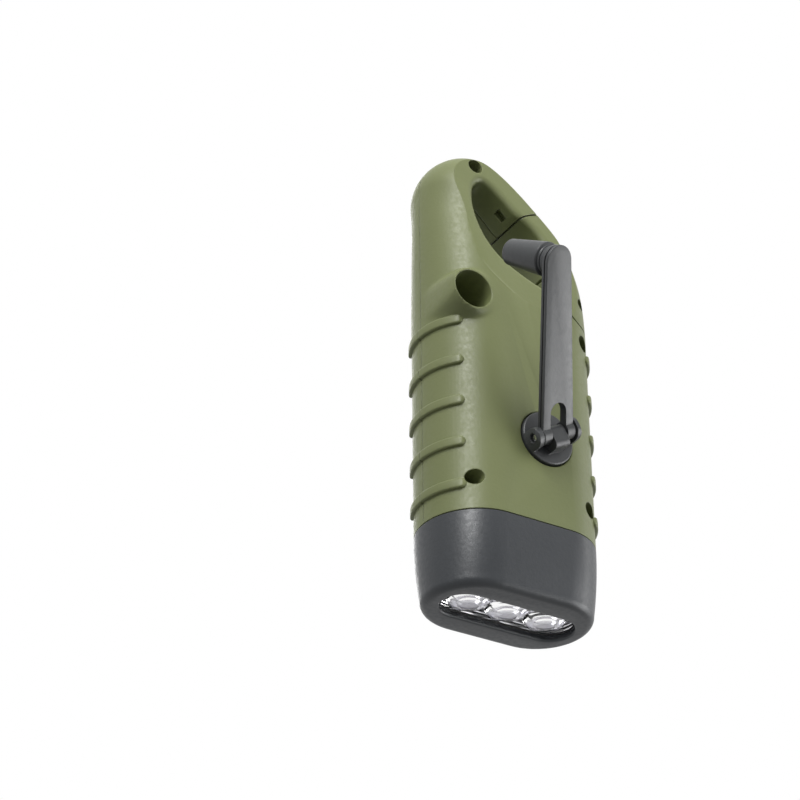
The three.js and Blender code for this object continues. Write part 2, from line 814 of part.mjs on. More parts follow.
function frontShell(body) {
  const inside = join(
    rods(gripScrews, screwPost, -halfDepth, 0),
    rods(boardPosts, boardPostRadius, -halfDepth, boardFace - fit, 10),
    cellCradle(),
  ).intersect(pillow(wall / 2));
  const shell = join(cut(body, gateRegion(fit / 2, shellLip)), hingeLugs()).intersect(halfSpace(-1));
  const tongue = cut(edgeBand(lipInset, -lipReach * 2, lipReach), outlineBlock(wall, -bodyDepth, bodyDepth),
    rods(gripScrews, screwPost + fit, 0, halfDepth),
    block([-bodyWidth, bodyWidth], [-bodyDepth, bodyDepth], [-overrun, capHeight + fit / 2]));
  return largest(cut(join(cut(shell, cut(room(), inside)), tongue), catches(),
    rods(shellScrewPlaces, screwShank + fit, -screwDeep - fit, overrun, 10),
    prism('y', trayOutline(-fit), -bodyDepth, trayDepth - windowFace + fit, 3),
    rod('x', buttonRadius + fit, -bodyWidth, -halfWidth / 2, buttonPlace),
    rod('x', buttonFlange + fit, buttonSeat, -halfWidth / 2, buttonPlace),
    rod('y', hingePinRadius + fit, -bodyDepth, bodyDepth, hingeAt)));
}

// Head cap: the body's section, drawn in towards its rim

function capSection(z, inset) {
  const rise = THREE.MathUtils.clamp((z - rimRound) / (capHeight - rimRound), 0, 1);
  const spread = 1 - (1 - rise) ** 2;
  const under = Math.max(1 - z / rimRound, 0);
  const drawn = inset + rimRound * (1 - Math.sqrt(1 - under ** 2));
  const width = (rimWidth + (bodyWidth - rimWidth) * spread) / 2 - drawn;
  const depth = (rimDepth + (bodyDepth - rimDepth) * spread) / 2 - drawn;
  const flat = halfWidth - shoulderSide;
  const points = [];
  const steps = shoulderSteps * 2;
  for (const side of [1, -1]) {
    for (let i = 0; i <= steps; i += 1) {
      const angle = Math.PI * (i / steps - 1 / 2);
      points.push([side * (flat + (width - flat) * Math.cos(angle)), side * depth * Math.sin(angle), z]);
    }
  }
  return points;
}

function capLoft(inset, heights) {
  return skin(heights.map(z => capSection(z, inset)), [0, 1]);
}

function capHeights() {
  const heights = [];
  for (let i = 0; i < rimRings; i += 1) {
    heights.push(rimRound * (1 - Math.cos(Math.PI / 2 * i / rimRings)));
  }
  for (let i = 0; i < capRings; i += 1) {
    heights.push(rimRound + (capHeight - rimRound) * i / capRings);
  }
  return [...heights, capHeight - fit / 2];
}

// The lamp stack, from the rim upwards
const pocketLength = slotLength + slotLedge * 2;
const pocketWidth = slotWidth + slotLedge * 2;
const gasketFoot = slotDepth + fit;
const lensFoot = gasketFoot + gasketThick + fit;
const reflectorFoot = lensFoot + lensThick + fit;
const lampSeat = reflectorFoot + reflectorThick + fit;
const lampBoardFoot = lampSeat + lampFlangeHeight + fit;
const lampFirst = -lampPitch * (lampCount - 1) / 2;
const lampPlaces = Array.from({ length: lampCount }, (_, i) => [lampFirst + i * lampPitch, 0, 0]);

function headBezel() {
  const top = capHeight + spigotHeight;
  const inset = wall + fit * 2;
  const root = capLoft(wall / 2, [capHeight - wall, capHeight - fit]);
  const spigot = cut(join(root, capLoft(inset, [capHeight - wall, top])),
    capLoft(inset + spigotWall, [capHeight - overrun, top + overrun]));
  const tubeOutline = stadium(pocketLength + tubeWall * 2, pocketWidth + tubeWall * 2);
  const tube = prism('z', tubeOutline, 0, lampBoardFoot - fit, 4);
  const hollow = cut(capLoft(wall, [wall * 2, capHeight / 2, capHeight + overrun]), tube);
  return cut(join(cut(capLoft(0, capHeights()), hollow), spigot),
    prism('z', stadium(slotLength, slotWidth), -overrun, slotDepth + overrun, 5),
    prism('z', stadium(pocketLength, pocketWidth), slotDepth, top, 5));
}

// A plate that drops into the cap's pocket
function pocketPlate(foot, thick, inset = 0) {
  const drawn = (fit + inset) * 2;
  return prism('z', stadium(pocketLength - drawn, pocketWidth - drawn), foot, foot + thick, 5);
}

function lensGasket() {
  const hole = pocketPlate(gasketFoot - fit, gasketThick + fit * 2, gasketWidth);
  return cut(pocketPlate(gasketFoot, gasketThick), hole);
}

function lensWindow() {
  const profile = [];
  for (let k = 0; k <= domeSteps; k += 1) {
    const angle = Math.PI / 2 * k / domeSteps;
    profile.push([domeRadius * Math.sin(angle), lensFoot - domeHeight * Math.cos(angle)]);
  }
  profile.push([domeRadius, lensFoot + lensThick / 2], [0, lensFoot + lensThick / 2]);
  const domes = lampPlaces.map(place => turned('z', profile, place, 14));
  return join(pocketPlate(lensFoot, lensThick), ...domes);
}

function reflector() {
  const profile = [[0, reflectorFoot - overrun], [cupRadius, reflectorFoot - overrun]];
  for (let k = 0; k <= cupSteps; k += 1) {
    const share = k / cupSteps;
    profile.push([cupRadius + (cupFoot - cupRadius) * share ** 2, reflectorFoot + cupDepth * share]);
  }
  profile.push([cupFoot, lampSeat], [0, lampSeat]);
  const cups = lampPlaces.map(place => turned('z', profile, place, 14));
  return cut(pocketPlate(reflectorFoot, reflectorThick), ...cups);
}

function lamp(place) {
  const crown = lampSeat + lampFlangeHeight - lampLength + lampRadius;
  const profile = [];
  for (let k = 0; k < lampSteps; k += 1) {
    const angle = Math.PI / 2 * k / lampSteps;
    profile.push([lampRadius * Math.sin(angle), crown - lampRadius * Math.cos(angle)]);
  }
  profile.push([lampRadius, crown], [lampRadius, lampSeat], [lampFlange, lampSeat]);
  profile.push([lampFlange, lampSeat + lampFlangeHeight], [0, lampSeat + lampFlangeHeight]);
  return turned('z', profile, place, 10);
}

function lampBoard() {
  return prism('z', stadium(pocketLength + tubeWall, pocketWidth + tubeWall), lampBoardFoot,
    lampBoardFoot + lampBoardThick, 5);
}

// Solar panel

const frameFace = halfDepth + panelProud;
const windowFace = frameFace - windowSlope;
const windowWest = windowX - windowWidth / 2;
const windowFoot = capHeight + windowRise;

function windowOutline(grow) {
  const [width, height] = [windowWidth + grow * 2, windowHeight + grow * 2];
  return roundedBox(windowWest - grow, windowFoot - grow, width, height, windowCorner);
}

function trayOutline(inset) {
  return windowOutline(windowLedge + fit + trayWall - inset);
}

// The frame's outline has an arched top
function frameRing(inset, out) {
  const west = panelX - panelWidth / 2 + inset;
  const east = panelX + panelWidth / 2 - inset;
  const foot = capHeight + panelRise + inset;
  const corner = foot + panelHeight - inset * 2;
  const round = panelCorner - inset / 2;
  const shape = new THREE.Shape();
  shape.absarc(east - round, foot + round, round, -Math.PI / 2, 0);
  shape.lineTo(east, corner - round);
  shape.quadraticCurveTo(east, corner, east - round, corner);
  shape.quadraticCurveTo(panelX, corner + panelArch * 2, west + round, corner);
  shape.quadraticCurveTo(west, corner, west, corner - round);
  shape.absarc(west + round, foot + round, round, Math.PI, Math.PI * 1.5);
  const points = shape.getPoints(4);
  const apart = (p, i) => p.distanceTo(points.at(i - 1)) > fit / 100;
  return points.filter(apart).map(p => [p.x, -out, p.y]);
}

function solarBezel() {
  const frame = skin([
    frameRing(0, halfDepth - panelSink), frameRing(0, halfDepth + fit),
    frameRing(panelBand / 2, frameFace - fit), frameRing(panelBand, frameFace - fit),
    frameRing(panelBand + fit, frameFace),
  ], [0, 2]);
  const tray = prism('y', trayOutline(0), -halfDepth - fit * 2, trayDepth - windowFace, 3);
  const pocket = prism('y', trayOutline(trayWall), -windowFace, 0, 3);
  const mouth = new THREE.ExtrudeGeometry(windowOutline(0), {
    depth: overrun,
    curveSegments: 3,
    bevelSegments: 1,
    bevelThickness: windowSlope - fit,
    bevelSize: windowSlope,
  });
  mouth.rotateX(Math.PI / 2);
  mouth.translate(0, -frameFace, 0);
  const through = prism('y', windowOutline(0), -frameFace - overrun, -windowFace + fit, 3);
  return cut(join(cut(frame, pillow(-fit)), tray), pocket, solid(mouth), through);
}

function solarPlate(out, thick) {
  return prism('y', trayOutline(trayWall + fit), -out, thick - out, 3);
}

// Gears with straight-flanked teeth and running clearance

const rootRadius = teeth => gearModule * (teeth / 2 - dedendumShare);

function gear(teeth, turn, [from, to]) {
  const whole = Math.PI * 2 / teeth;
  const root = rootRadius(teeth);
  const tip = gearModule * (teeth / 2 + addendumShare);
  const points = [];
  for (let i = 0; i < teeth; i += 1) {
    const flank = [[root, toothRootShare], [tip, toothTipShare]];
    const corners = [...flank.map(([radius, share]) => [radius, -share]), ...flank.toReversed()];
    for (const [radius, share] of corners) {
      const angle = turn + whole * (i + share / 2);
      points.push(vector(radius * Math.cos(angle), radius * Math.sin(angle)));
    }
  }
  return prism('y', new THREE.Shape(points), from, to);
}

// Each pinion's gap faces the tooth of the wheel that drives it, on the line between their centres
const tilted = [0];
bearings.forEach((bearing, i) => {
  const line = radians(bearing);
  const wheelPhase = (tilted[i] - line) * wheelTeeth;
  tilted.push(line + Math.PI + (Math.PI - wheelPhase) / pinionTeeth);
});

// An idler: its pinion on the layer of the wheel that drives it, its own wheel on the next
function idler(stage) {
  const [from, to] = layers[stage - 1];
  const pinion = gear(pinionTeeth, tilted[stage], [layers[stage][1] - fit, to + pinionExtra]);
  const neck = rod('y', rootRadius(pinionTeeth), layers[stage][0], from + fit, origin);
  const bore = rod('y', axleRadius + fit, -halfDepth, halfDepth, origin, 10);
  return cut(join(pinion, gear(wheelTeeth, tilted[stage], layers[stage]), neck), bore);
}

function rotorPinion() {
  const [from, to] = layers[2];
  const sleeve = rod('y', rotorHub, magnetFoot, to, origin, 12);
  const pinion = gear(pinionTeeth, tilted[3], [from, to + pinionExtra]);
  return cut(join(pinion, sleeve), rod('y', axleRadius + fit, -halfDepth, halfDepth, origin, 10));
}

// The drive gear sits on the crank's hexagon, so it is drawn with the crank's arm pointing up
function driveGear() {
  const bore = rod('y', hexRadius + fit, -halfDepth, halfDepth, origin, 6);
  return cut(gear(wheelTeeth, tilted[0] + tilt, layers[0]), bore);
}

// Dynamo

const magnetTop = plateFoot - fit;
const magnetFoot = magnetTop - magnetShare * halfDepth;
const coreFoot = magnetTop - coreShare * halfDepth;
const coilThick = coilShare * halfDepth;
const coilX = rotorPlace[0] + coreReach - coreLeg / 2;

function rotorMagnet() {
  const bore = rod('y', rotorHub + fit / 2, -halfDepth, halfDepth, origin, 12);
  return cut(rod('y', magnetRadius, magnetFoot, magnetTop, origin, 20), bore);
}

function statorCore() {
  const [x, z] = rotorPlace;
  const inner = magnetRadius + coreGap;
  const outer = inner + coreShoe;
  const east = x + coreReach;
  const legHalf = outer - coreArm / 2;
  const leg = block([east - coreLeg, east], [coreFoot, magnetTop], [z - legHalf, z + legHalf]);
  const poles = [90, 270].map(angle => {
    const shoe = sector(rotorPlace, inner, outer, angle - shoeAngle / 2, angle + shoeAngle / 2);
    return prism('y', shoe, coreFoot, magnetTop, 6);
  });
  const arms = [1, -1].map(side => {
    const middle = z + side * (outer - coreShoe / 2);
    return block([x, east], [coreFoot, magnetTop], [middle - coreArm / 2, middle + coreArm / 2]);
  });
  return cut(join(leg, ...poles, ...arms), rod('y', inner, -halfDepth, halfDepth, [x, 0, z], 20));
}

// Bobbin round the core's leg. It is open towards the gears, where the core slides in.
function coilBobbin() {
  const [, z] = rotorPlace;
  const half = bobbinLength / 2;
  const [front, back] = [coreFoot - fit - bobbinWall, magnetTop];
  const tube = coreLeg / 2 + fit + bobbinWall;
  const flange = side => block([coilX - bobbinFlange, coilX + bobbinFlange], [front, back],
    side < 0 ? [z - half, z - half + bobbinWall] : [z + half - bobbinWall, z + half]);
  const body = block([coilX - tube, coilX + tube], [front, back], [z - half, z + half]);
  const inside = coreLeg / 2 + fit;
  const ends = [z - bobbinLength, z + bobbinLength];
  const mouth = block([coilX - inside, coilX + inside], [coreFoot - fit, halfDepth], ends);
  return cut(join(body, flange(-1), flange(1)), mouth);
}

function coilWinding() {
  const [, z] = rotorPlace;
  const half = bobbinLength / 2 - bobbinWall - fit;
  const inner = coreLeg / 2 + bobbinWall + fit * 2;
  const outer = inner + coilThick;
  const inside = coreFoot - bobbinWall - fit * 2;
  const whole = block([coilX - outer, coilX + outer], [inside - coilThick, magnetTop], [z - half, z + half]);
  const ends = [z - bobbinLength, z + bobbinLength];
  return cut(whole, block([coilX - inner, coilX + inner], [inside, halfDepth], ends));
}

function gearPlate() {
  const rim = platePostRadius + wall / 2;
  const [low, high, far] = platePosts;
  const web = shapeOf([
    [low[0], low[1] - rim], [low[0] + rim, low[1]], [high[0] + rim, high[1]], [high[0], high[1] + rim],
    [secondPlace[0], secondPlace[1] + rim], [far[0], far[1] + rim], [far[0] - rim, far[1]],
    [rotorPlace[0] - rim, rotorPlace[1]], [rotorPlace[0], rotorPlace[1] - rim], [firstPlace[0], low[1] - rim],
  ]);
  const plate = join(prism('y', web, plateFoot, plateTop),
    rods(platePosts, rim, plateFoot, plateTop, 12));
  return cut(plate, rods([firstPlace, secondPlace], axleRadius + fit, -halfDepth, halfDepth, 10),
    rod('y', rotorHub + fit, -halfDepth, halfDepth, [rotorPlace[0], 0, rotorPlace[1]], 12),
    rods(platePosts, plateScrewShank + fit, -halfDepth, halfDepth, 10));
}

function axle([x, z]) {
  return rod('y', axleRadius, plateFoot, postFoot + axleSeat, [x, 0, z], 10);
}

function rotorAxle([x, z]) {
  const head = magnetFoot - fit - axleHeadHeight;
  return headed('y', axleHead, axleHeadHeight, axleRadius, head, postFoot + axleSeat, [x, 0, z]);
}

// Crank, drawn about the hub's axis with its arm pointing up

const hubTop = halfDepth + hubProud;
const pivotY = halfDepth + pivotOut;

function crankHub() {
  const base = hubFloor + fit;
  const disc = turned('y', [[0, base], [hubRadius, base], [hubRadius, hubTop - hubRound],
    [hubRadius - hubRound, hubTop], [0, hubTop]], origin, 28);
  const cheekIn = armRoot / 2 + fit;
  const cheekTop = pivotY + pivotBody;
  const ear = new THREE.Shape();
  ear.moveTo(base, -cheekReach);
  ear.lineTo(hubTop, -cheekReach);
  ear.quadraticCurveTo(cheekTop, -cheekReach, cheekTop, 0);
  ear.quadraticCurveTo(cheekTop, cheekReach, hubTop, cheekReach);
  ear.lineTo(base, cheekReach);
  const ears = join(prism('x', ear, cheekIn, hubRadius * 2, 4), prism('x', ear, -hubRadius * 2, -cheekIn, 4))
    .intersect(rod('y', hubRadius, base, cheekTop, origin, 28));
  const lugOutline = new THREE.Shape();
  lugOutline.absarc(pivotY, 0, armThick / 2, -Math.PI / 2, Math.PI / 2);
  lugOutline.lineTo(base, armThick / 2);
  lugOutline.lineTo(base, -armThick / 2);
  const lug = prism('x', lugOutline, -lugWidth / 2, lugWidth / 2);
  const [from, to] = layers[0];
  const shaft = join(rod('y', shaftRadius, to + fit, hubTop - hubRound, origin, 16),
    rod('y', hexRadius, from, hubTop - hubRound, origin, 6));
  return cut(join(disc, ears, lug, shaft),
    rod('x', foldPinRadius + fit, -bodyWidth, bodyWidth, [0, pivotY, 0], 10),
    rod('y', hubScrewShank + fit, 0, from + hubScrewLength, origin, 10));
}

function hubScrew() {
  const [seat] = layers[0];
  const head = seat - fit - hubScrewHeight;
  return headed('y', hubScrewHead, hubScrewHeight, hubScrewShank, head, seat + hubScrewLength - fit, origin);
}

function crankBush([x, z]) {
  const top = bossFoot - fit;
  const outer = shaftRadius + fit + bushWall;
  return cut(turned('y', [[0, top - bushFlangeThick], [bushFlange, top - bushFlangeThick], [bushFlange, top],
    [outer, top], [outer, hubFloor], [0, hubFloor]], [x, 0, z], 16),
  rod('y', shaftRadius + fit, 0, halfDepth, [x, 0, z], 16));
}

// The arm lies along +Z from the pin, its outer face towards +Y
function armOutline(inset) {
  const tipHalf = armTip / 2 - inset;
  const rootHalf = armRoot / 2 - inset;
  const shape = new THREE.Shape();
  shape.moveTo(rootHalf, 0);
  shape.lineTo(tipHalf, armLength);
  shape.absarc(0, armLength, tipHalf, 0, Math.PI);
  shape.lineTo(-rootHalf, 0);
  return shape;
}

function crankArm() {
  const half = armThick / 2;
  const rootHalf = armRoot / 2;
  const wide = prism('y', armOutline(0), armStep - half, half - armStep / 2, 7);
  const narrow = prism('y', armOutline(armStepInset), -half, half, 7);
  const barrel = rod('x', half, -rootHalf, rootHalf, origin);
  const sunk = prism('y', armOutline(armStepInset + armRim), half - armRecess, half * 2, 7)
    .intersect(block([-rootHalf, rootHalf], [-armThick, armThick], [forkLength + armRim * 2, bodyLength]));
  const gapHalf = lugWidth / 2 + fit;
  const window = new THREE.Shape();
  window.moveTo(-gapHalf, -armThick);
  window.lineTo(gapHalf, -armThick);
  window.absarc(0, forkLength - gapHalf, gapHalf, 0, Math.PI);
  return cut(join(wide, narrow, barrel), sunk, prism('y', window, -armThick, armThick),
    rod('x', foldPinRadius + fit, -bodyWidth, bodyWidth, origin, 10),
    rod('y', knobPinRadius + fit, -armThick, half - armRecess - fit, [0, 0, armLength], 10));
}

function foldPin() {
  return rod('x', foldPinRadius, -foldPinLength / 2, foldPinLength / 2, origin, 10);
}

// The knob points from the arm towards -Y, with its pin through it
const knobTop = -armThick / 2 - fit;
const knobFoot = knobTop - knobLength;

function crankKnob() {
  return cut(turned('y', [[0, knobFoot], [knobEnd - knobRound, knobFoot], [knobEnd, knobFoot + knobRound],
    [knobBase, knobTop - knobNeckHeight], [knobBase - knobNeck, knobTop - knobNeckHeight / 2],
    [knobBase - knobNeck, knobTop], [0, knobTop]], origin, 20),
  headed('y', knobPinHead + fit, knobPinHeadHeight + fit, knobPinRadius + fit, knobFoot, armThick, origin));
}

function knobPin() {
  const end = armThick / 2 - armRecess - fit * 2;
  return headed('y', knobPinHead, knobPinHeadHeight - fit, knobPinRadius, knobFoot + fit, end, origin);
}

// Electrics

const boardFace = trayDepth - windowFace + boardShare * halfDepth;
const [boardWest, boardEast] = [halfWidth - boardInsetWest, halfWidth - boardInsetEast];
const boardFoot = capHeight + boardRise;
const boardTop = gripTop - boardHeadroom;
const boardPosts = [boardPostInset - boardWest, boardEast - boardPostInset]
  .flatMap(x => [boardFoot + boardPostInset, boardTop - boardPostInset].map(z => [x, z]));
const boardBack = boardFace + boardThick;

function mainBoard() {
  const outline = roundedBox(-boardWest, boardFoot, boardWest + boardEast, boardTop - boardFoot, wall / 2);
  const chips = [0, boardEast / 2].map(x => block([x, x + chipSize], [boardFace, boardBack + chipHeight],
    [boardFoot + chipSize, boardFoot + chipSize * 2]));
  return join(prism('y', outline, boardFace, boardBack, 2), ...chips);
}

const buttonPlace = [0, -buttonOut, capHeight + buttonRise];
const buttonSeat = -halfWidth + buttonDepth - buttonFlangeThick - fit;
const plungerEnd = -halfWidth + buttonDepth + buttonStemLength + buttonTravel + fit / 3;

function powerButton() {
  const flange = -halfWidth + buttonDepth;
  const top = -halfWidth - buttonProud;
  return turned('x', [[0, top], [buttonRadius * buttonDomeShare, top + buttonDome / 6],
    [buttonRadius, top + buttonDome], [buttonRadius, flange - buttonFlangeThick],
    [buttonFlange, flange - buttonFlangeThick], [buttonFlange, flange], [buttonStem, flange],
    [buttonStem, flange + buttonStemLength], [0, flange + buttonStemLength]], buttonPlace);
}

function tactSwitch() {
  const west = plungerEnd + plungerLength;
  const middle = buttonPlace[2];
  const body = block([west, west + switchWidth], [boardBack + fit, boardBack + fit + switchReach],
    [middle - switchHeight / 2, middle + switchHeight / 2]);
  return join(body, rod('x', plungerRadius, plungerEnd, west + fit, buttonPlace, 12));
}

// Three cells in a row between the cheeks of a cradle
const cellStep = cellLength + fit;
const cellOut = halfDepth - wall - cellLift - cellRadius;
const cellPlace = [-(cellCount * cellStep) / 2, -cellOut, capHeight + cellRise];

function cellCradle() {
  const [, y, z] = cellPlace;
  return join(...[-1, 1].map(side => {
    const near = side * (cellCount * cellStep / 2 + fit / 2);
    const ends = side > 0 ? [near, near + cradleThick] : [near - cradleThick, near];
    return block(ends, [-halfDepth, y], [z - cellRadius, z + cellRadius]);
  }));
}

function batteryCell(i) {
  const [west, y, z] = cellPlace;
  const from = west + cellStep * i + fit / 2;
  const to = from + cellLength;
  const step = to - cellFootHeight;
  const can = [[0, from], [cellRadius, from], [cellRadius, step]];
  return turned('x', [...can, [cellFoot, step], [cellFoot, to], [0, to]], [0, y, z], 14);
}

// Assembly

const looks = Object.entries(palette).map(([name, look]) => [name, new THREE.MeshStandardMaterial(look)]);
const materials = Object.fromEntries(looks);

function piece(name, body, look) {
  const mesh = new THREE.Mesh(surface(body), materials[look]);
  mesh.name = name;
  return mesh;
}

function groupAt([x, y, z], ...children) {
  const group = new THREE.Group();
  group.position.set(x, y, z);
  group.add(...children);
  return group;
}

const torch = new THREE.Group();
const body = moulding();

torch.add(
  piece('front_shell', frontShell(body), 'green'),
  piece('rear_shell', rearShell(body), 'green'),
  piece('gate', gate(body), 'green'),
  piece('gate_pin', gatePin(), 'steel'),
  piece('gate_spring', gateSpring(), 'steel'),
  piece('head_bezel', headBezel(), 'black'),
  piece('lens_gasket', lensGasket(), 'rubber'),
  piece('lens_window', lensWindow(), 'clear'),
  piece('reflector', reflector(), 'chrome'),
  piece('led_board', lampBoard(), 'board'),
  piece('solar_bezel', solarBezel(), 'black'),
  piece('solar_window', solarPlate(windowFace - fit, windowThick), 'clear'),
  piece('solar_cell', solarPlate(windowFace - fit * 2 - windowThick, cellThick), 'copperCell'),
  piece('main_board', mainBoard(), 'board'),
  piece('tact_switch', tactSwitch(), 'black'),
  piece('power_button', powerButton(), 'rubber'),
  piece('gear_plate', gearPlate(), 'nylon'),
  piece('crank_bush', crankBush(hub), 'nylon'),
  piece('idler_pin_1', axle(firstPlace), 'steel'),
  piece('idler_pin_2', axle(secondPlace), 'steel'),
  piece('rotor_pin', rotorAxle(rotorPlace), 'steel'),
  piece('stator_core', statorCore(), 'steel'),
  piece('coil_bobbin', coilBobbin(), 'nylon'),
  piece('coil_winding', coilWinding(), 'copper'),
);
shellScrewPlaces.forEach((place, i) => torch.add(piece(`shell_screw_${i + 1}`, shellScrew(place), 'steel')));
platePosts.forEach((place, i) => torch.add(piece(`plate_screw_${i + 1}`, plateScrew(place), 'steel')));
lampPlaces.forEach((place, i) => torch.add(piece(`led_${i + 1}`, lamp(place), 'clear')));
for (let i = 0; i < cellCount; i += 1) {
  torch.add(piece(`battery_cell_${i + 1}`, batteryCell(i), 'steel'));
}

torch.add(
  groupAt([firstPlace[0], 0, firstPlace[1]], piece('idler_gear_1', idler(1), 'nylon')),
  groupAt([secondPlace[0], 0, secondPlace[1]], piece('idler_gear_2', idler(2), 'nylon')),
  groupAt([rotorPlace[0], 0, rotorPlace[1]], piece('rotor_pinion', rotorPinion(), 'nylon'),
    piece('rotor_magnet', rotorMagnet(), 'magnet')),
);

const knob = groupAt([0, 0, armLength],
  piece('crank_knob', crankKnob(), 'black'),
  piece('knob_pin', knobPin(), 'steel'),
);
const arm = groupAt([0, pivotY, 0], piece('crank_arm', crankArm(), 'black'), knob);
arm.rotation.x = -radians(armLift);
const crank = groupAt([hub[0], 0, hub[1]],
  piece('crank_hub', crankHub(), 'black'),
  piece('hub_screw', hubScrew(), 'steel'),
  piece('drive_gear', driveGear(), 'nylon'),
  groupAt([0, pivotY, 0], piece('fold_pin', foldPin(), 'steel')),
  arm,
);
crank.rotation.y = tilt;
torch.add(crank);

// The origin is the middle of the overall box, on the plane of the rim
const middle = new THREE.Box3().setFromObject(torch, true).getCenter(new THREE.Vector3());
torch.position.set(-middle.x, -middle.y, 0);
console.log('origin moved by', torch.position.x.toFixed(4), torch.position.y.toFixed(4), 'mm');

export default torch;
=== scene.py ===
# %% [markdown]
# # A hand crank torch
# The real torch is an olive moulding in two halves with a charcoal head, a solar panel on one side,
# a folding crank on the other and a carabiner loop at the top. The CAD frame gives every part its
# place. This lesson gives each visible part a finer surface and a finish.

# %% Load the frame
import json
import math

import bmesh
import bpy
import numpy as np
from mathutils import Matrix, Vector

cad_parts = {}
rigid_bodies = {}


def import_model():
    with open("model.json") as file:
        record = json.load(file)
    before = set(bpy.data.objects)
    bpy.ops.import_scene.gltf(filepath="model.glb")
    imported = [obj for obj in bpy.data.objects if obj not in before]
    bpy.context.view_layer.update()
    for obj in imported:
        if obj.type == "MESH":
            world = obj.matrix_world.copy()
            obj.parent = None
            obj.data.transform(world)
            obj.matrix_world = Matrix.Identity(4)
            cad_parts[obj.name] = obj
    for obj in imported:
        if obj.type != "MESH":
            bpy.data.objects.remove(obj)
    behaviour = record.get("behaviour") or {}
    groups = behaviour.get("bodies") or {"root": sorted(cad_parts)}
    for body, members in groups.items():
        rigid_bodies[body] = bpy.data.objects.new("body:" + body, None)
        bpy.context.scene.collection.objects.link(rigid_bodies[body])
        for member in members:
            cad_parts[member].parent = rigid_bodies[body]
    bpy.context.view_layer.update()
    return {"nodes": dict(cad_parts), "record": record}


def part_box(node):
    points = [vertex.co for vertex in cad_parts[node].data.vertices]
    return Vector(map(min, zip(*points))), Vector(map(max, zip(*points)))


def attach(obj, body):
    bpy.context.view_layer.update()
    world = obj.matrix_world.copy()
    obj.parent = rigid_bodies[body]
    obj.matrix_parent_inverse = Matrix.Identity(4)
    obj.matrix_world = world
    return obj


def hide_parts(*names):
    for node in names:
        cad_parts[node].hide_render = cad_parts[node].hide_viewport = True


for leftover in list(bpy.data.objects):
    bpy.data.objects.remove(leftover)
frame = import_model()
collection = bpy.context.scene.collection
print("CAD nodes:", len(frame["nodes"]))

# %% [markdown]
# ## The camera first
# The torch is seen from below its lens rim, from the crank side. A long lens far away keeps the
# verticals nearly parallel. The camera could track an empty, but axes worked out from an azimuth and
# an elevation hold the small roll as well.

# %% Camera
azimuth, elevation, roll = (math.radians(angle) for angle in (148.89, -31.76, -0.48))
FOCAL_LENGTH, CAMERA_AT = 121.66, (0.3567, 0.5184, -0.3293)
back = Vector((math.sin(azimuth) * math.cos(elevation), -math.cos(azimuth) * math.cos(elevation),
               math.sin(elevation)))
right = Vector((math.cos(azimuth), math.sin(azimuth), 0))
axes = Matrix((right, back.cross(right), back)).transposed() @ Matrix.Rotation(roll, 3, "Z")
lens = bpy.data.cameras.new("camera")
lens.lens, lens.sensor_width, lens.clip_end = FOCAL_LENGTH, 36, 20
camera = bpy.data.objects.new("camera", lens)
camera.matrix_world = Matrix.Translation(CAMERA_AT) @ axes.to_4x4()
collection.objects.link(camera)
bpy.context.scene.camera = camera
print("camera at", [round(v, 3) for v in camera.location])

# %% [markdown]
# ## Drawing in millimetres
# The torch is drawn about its own middle axis, in millimetres, and moved into the frame at the end.
# The lens window lies on that axis, so its box tells where the axis is. Nearly every form is a stack
# of rings joined into a closed skin, because a closed skin can be cut and joined later.

# %% Closed solids from rings of points
lens_low, lens_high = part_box("lens_window")
axis_place = np.array([(lens_low.x + lens_high.x) / 2, (lens_low.y + lens_high.y) / 2, 0])
MM = 0.001
HALF_TURN = math.pi


def new_piece(points, edges, faces):
    """An object whose points are in millimetres about the torch's axis."""
    mesh = bpy.data.meshes.new("drawn")
    mesh.from_pydata((np.asarray(points) * MM + axis_place).tolist(), edges, faces)
    piece = bpy.data.objects.new("drawn", mesh)
    collection.objects.link(piece)
    return piece


def skin(rings):
    """Rings of equal length joined in order, with the first and the last closed."""
    rings = np.asarray(rings, float)
    count, around = rings.shape[:2]
    faces = []
    for k in range(count - 1):
        for i in range(around):
            j = (i + 1) % around
            faces.append([k * around + i, k * around + j, (k + 1) * around + j, (k + 1) * around + i])
    faces.append(list(range(around))[::-1])
    faces.append(list(range((count - 1) * around, count * around)))
    piece = new_piece(rings.reshape(-1, 3), [], faces)
    shape = bmesh.new()
    shape.from_mesh(piece.data)
    bmesh.ops.remove_doubles(shape, verts=shape.verts, dist=1e-7)
    bmesh.ops.recalc_face_normals(shape, faces=shape.faces)
    shape.to_mesh(piece.data)
    shape.free()
    return piece


print("the torch's axis is at", axis_place[:2].round(4).tolist())


# %% Prisms, turned forms and blocks
def along(axis, outline, height):
    """Outline points set at one height: along x they give y and z, along y x and z, along z x and y."""
    outline = np.asarray(outline, float)
    level = np.full(len(outline), float(height))
    u, v = outline[:, 0], outline[:, 1]
    return np.stack({"x": (level, u, v), "y": (u, level, v), "z": (u, v, level)}[axis], axis=1)


def prism(axis, outline, start, end):
    return skin([along(axis, outline, start), along(axis, outline, end)])


def turned(axis, profile, place, steps=64):
    """A profile of radius and height, turned about an axis through a place."""
    angles = np.linspace(0, 2 * HALF_TURN, steps, endpoint=False)
    circle = np.stack([np.cos(angles), np.sin(angles)], axis=1)
    return skin([along(axis, circle * max(radius, 1e-5), height) + np.asarray(place, float)
                 for radius, height in profile])


def rod(axis, radius, start, end, place, steps=48):
    return turned(axis, [(radius, start), (radius, end)], place, steps)


def block(x, y, z):
    outline = [(x[0], y[0]), (x[1], y[0]), (x[1], y[1]), (x[0], y[1])]
    return prism("z", outline, z[0], z[1])


def quarter(steps):
    """Sines and cosines of a quarter turn, for rounded edges."""
    return [(math.sin(a), math.cos(a)) for a in np.linspace(0, HALF_TURN / 2, steps)]


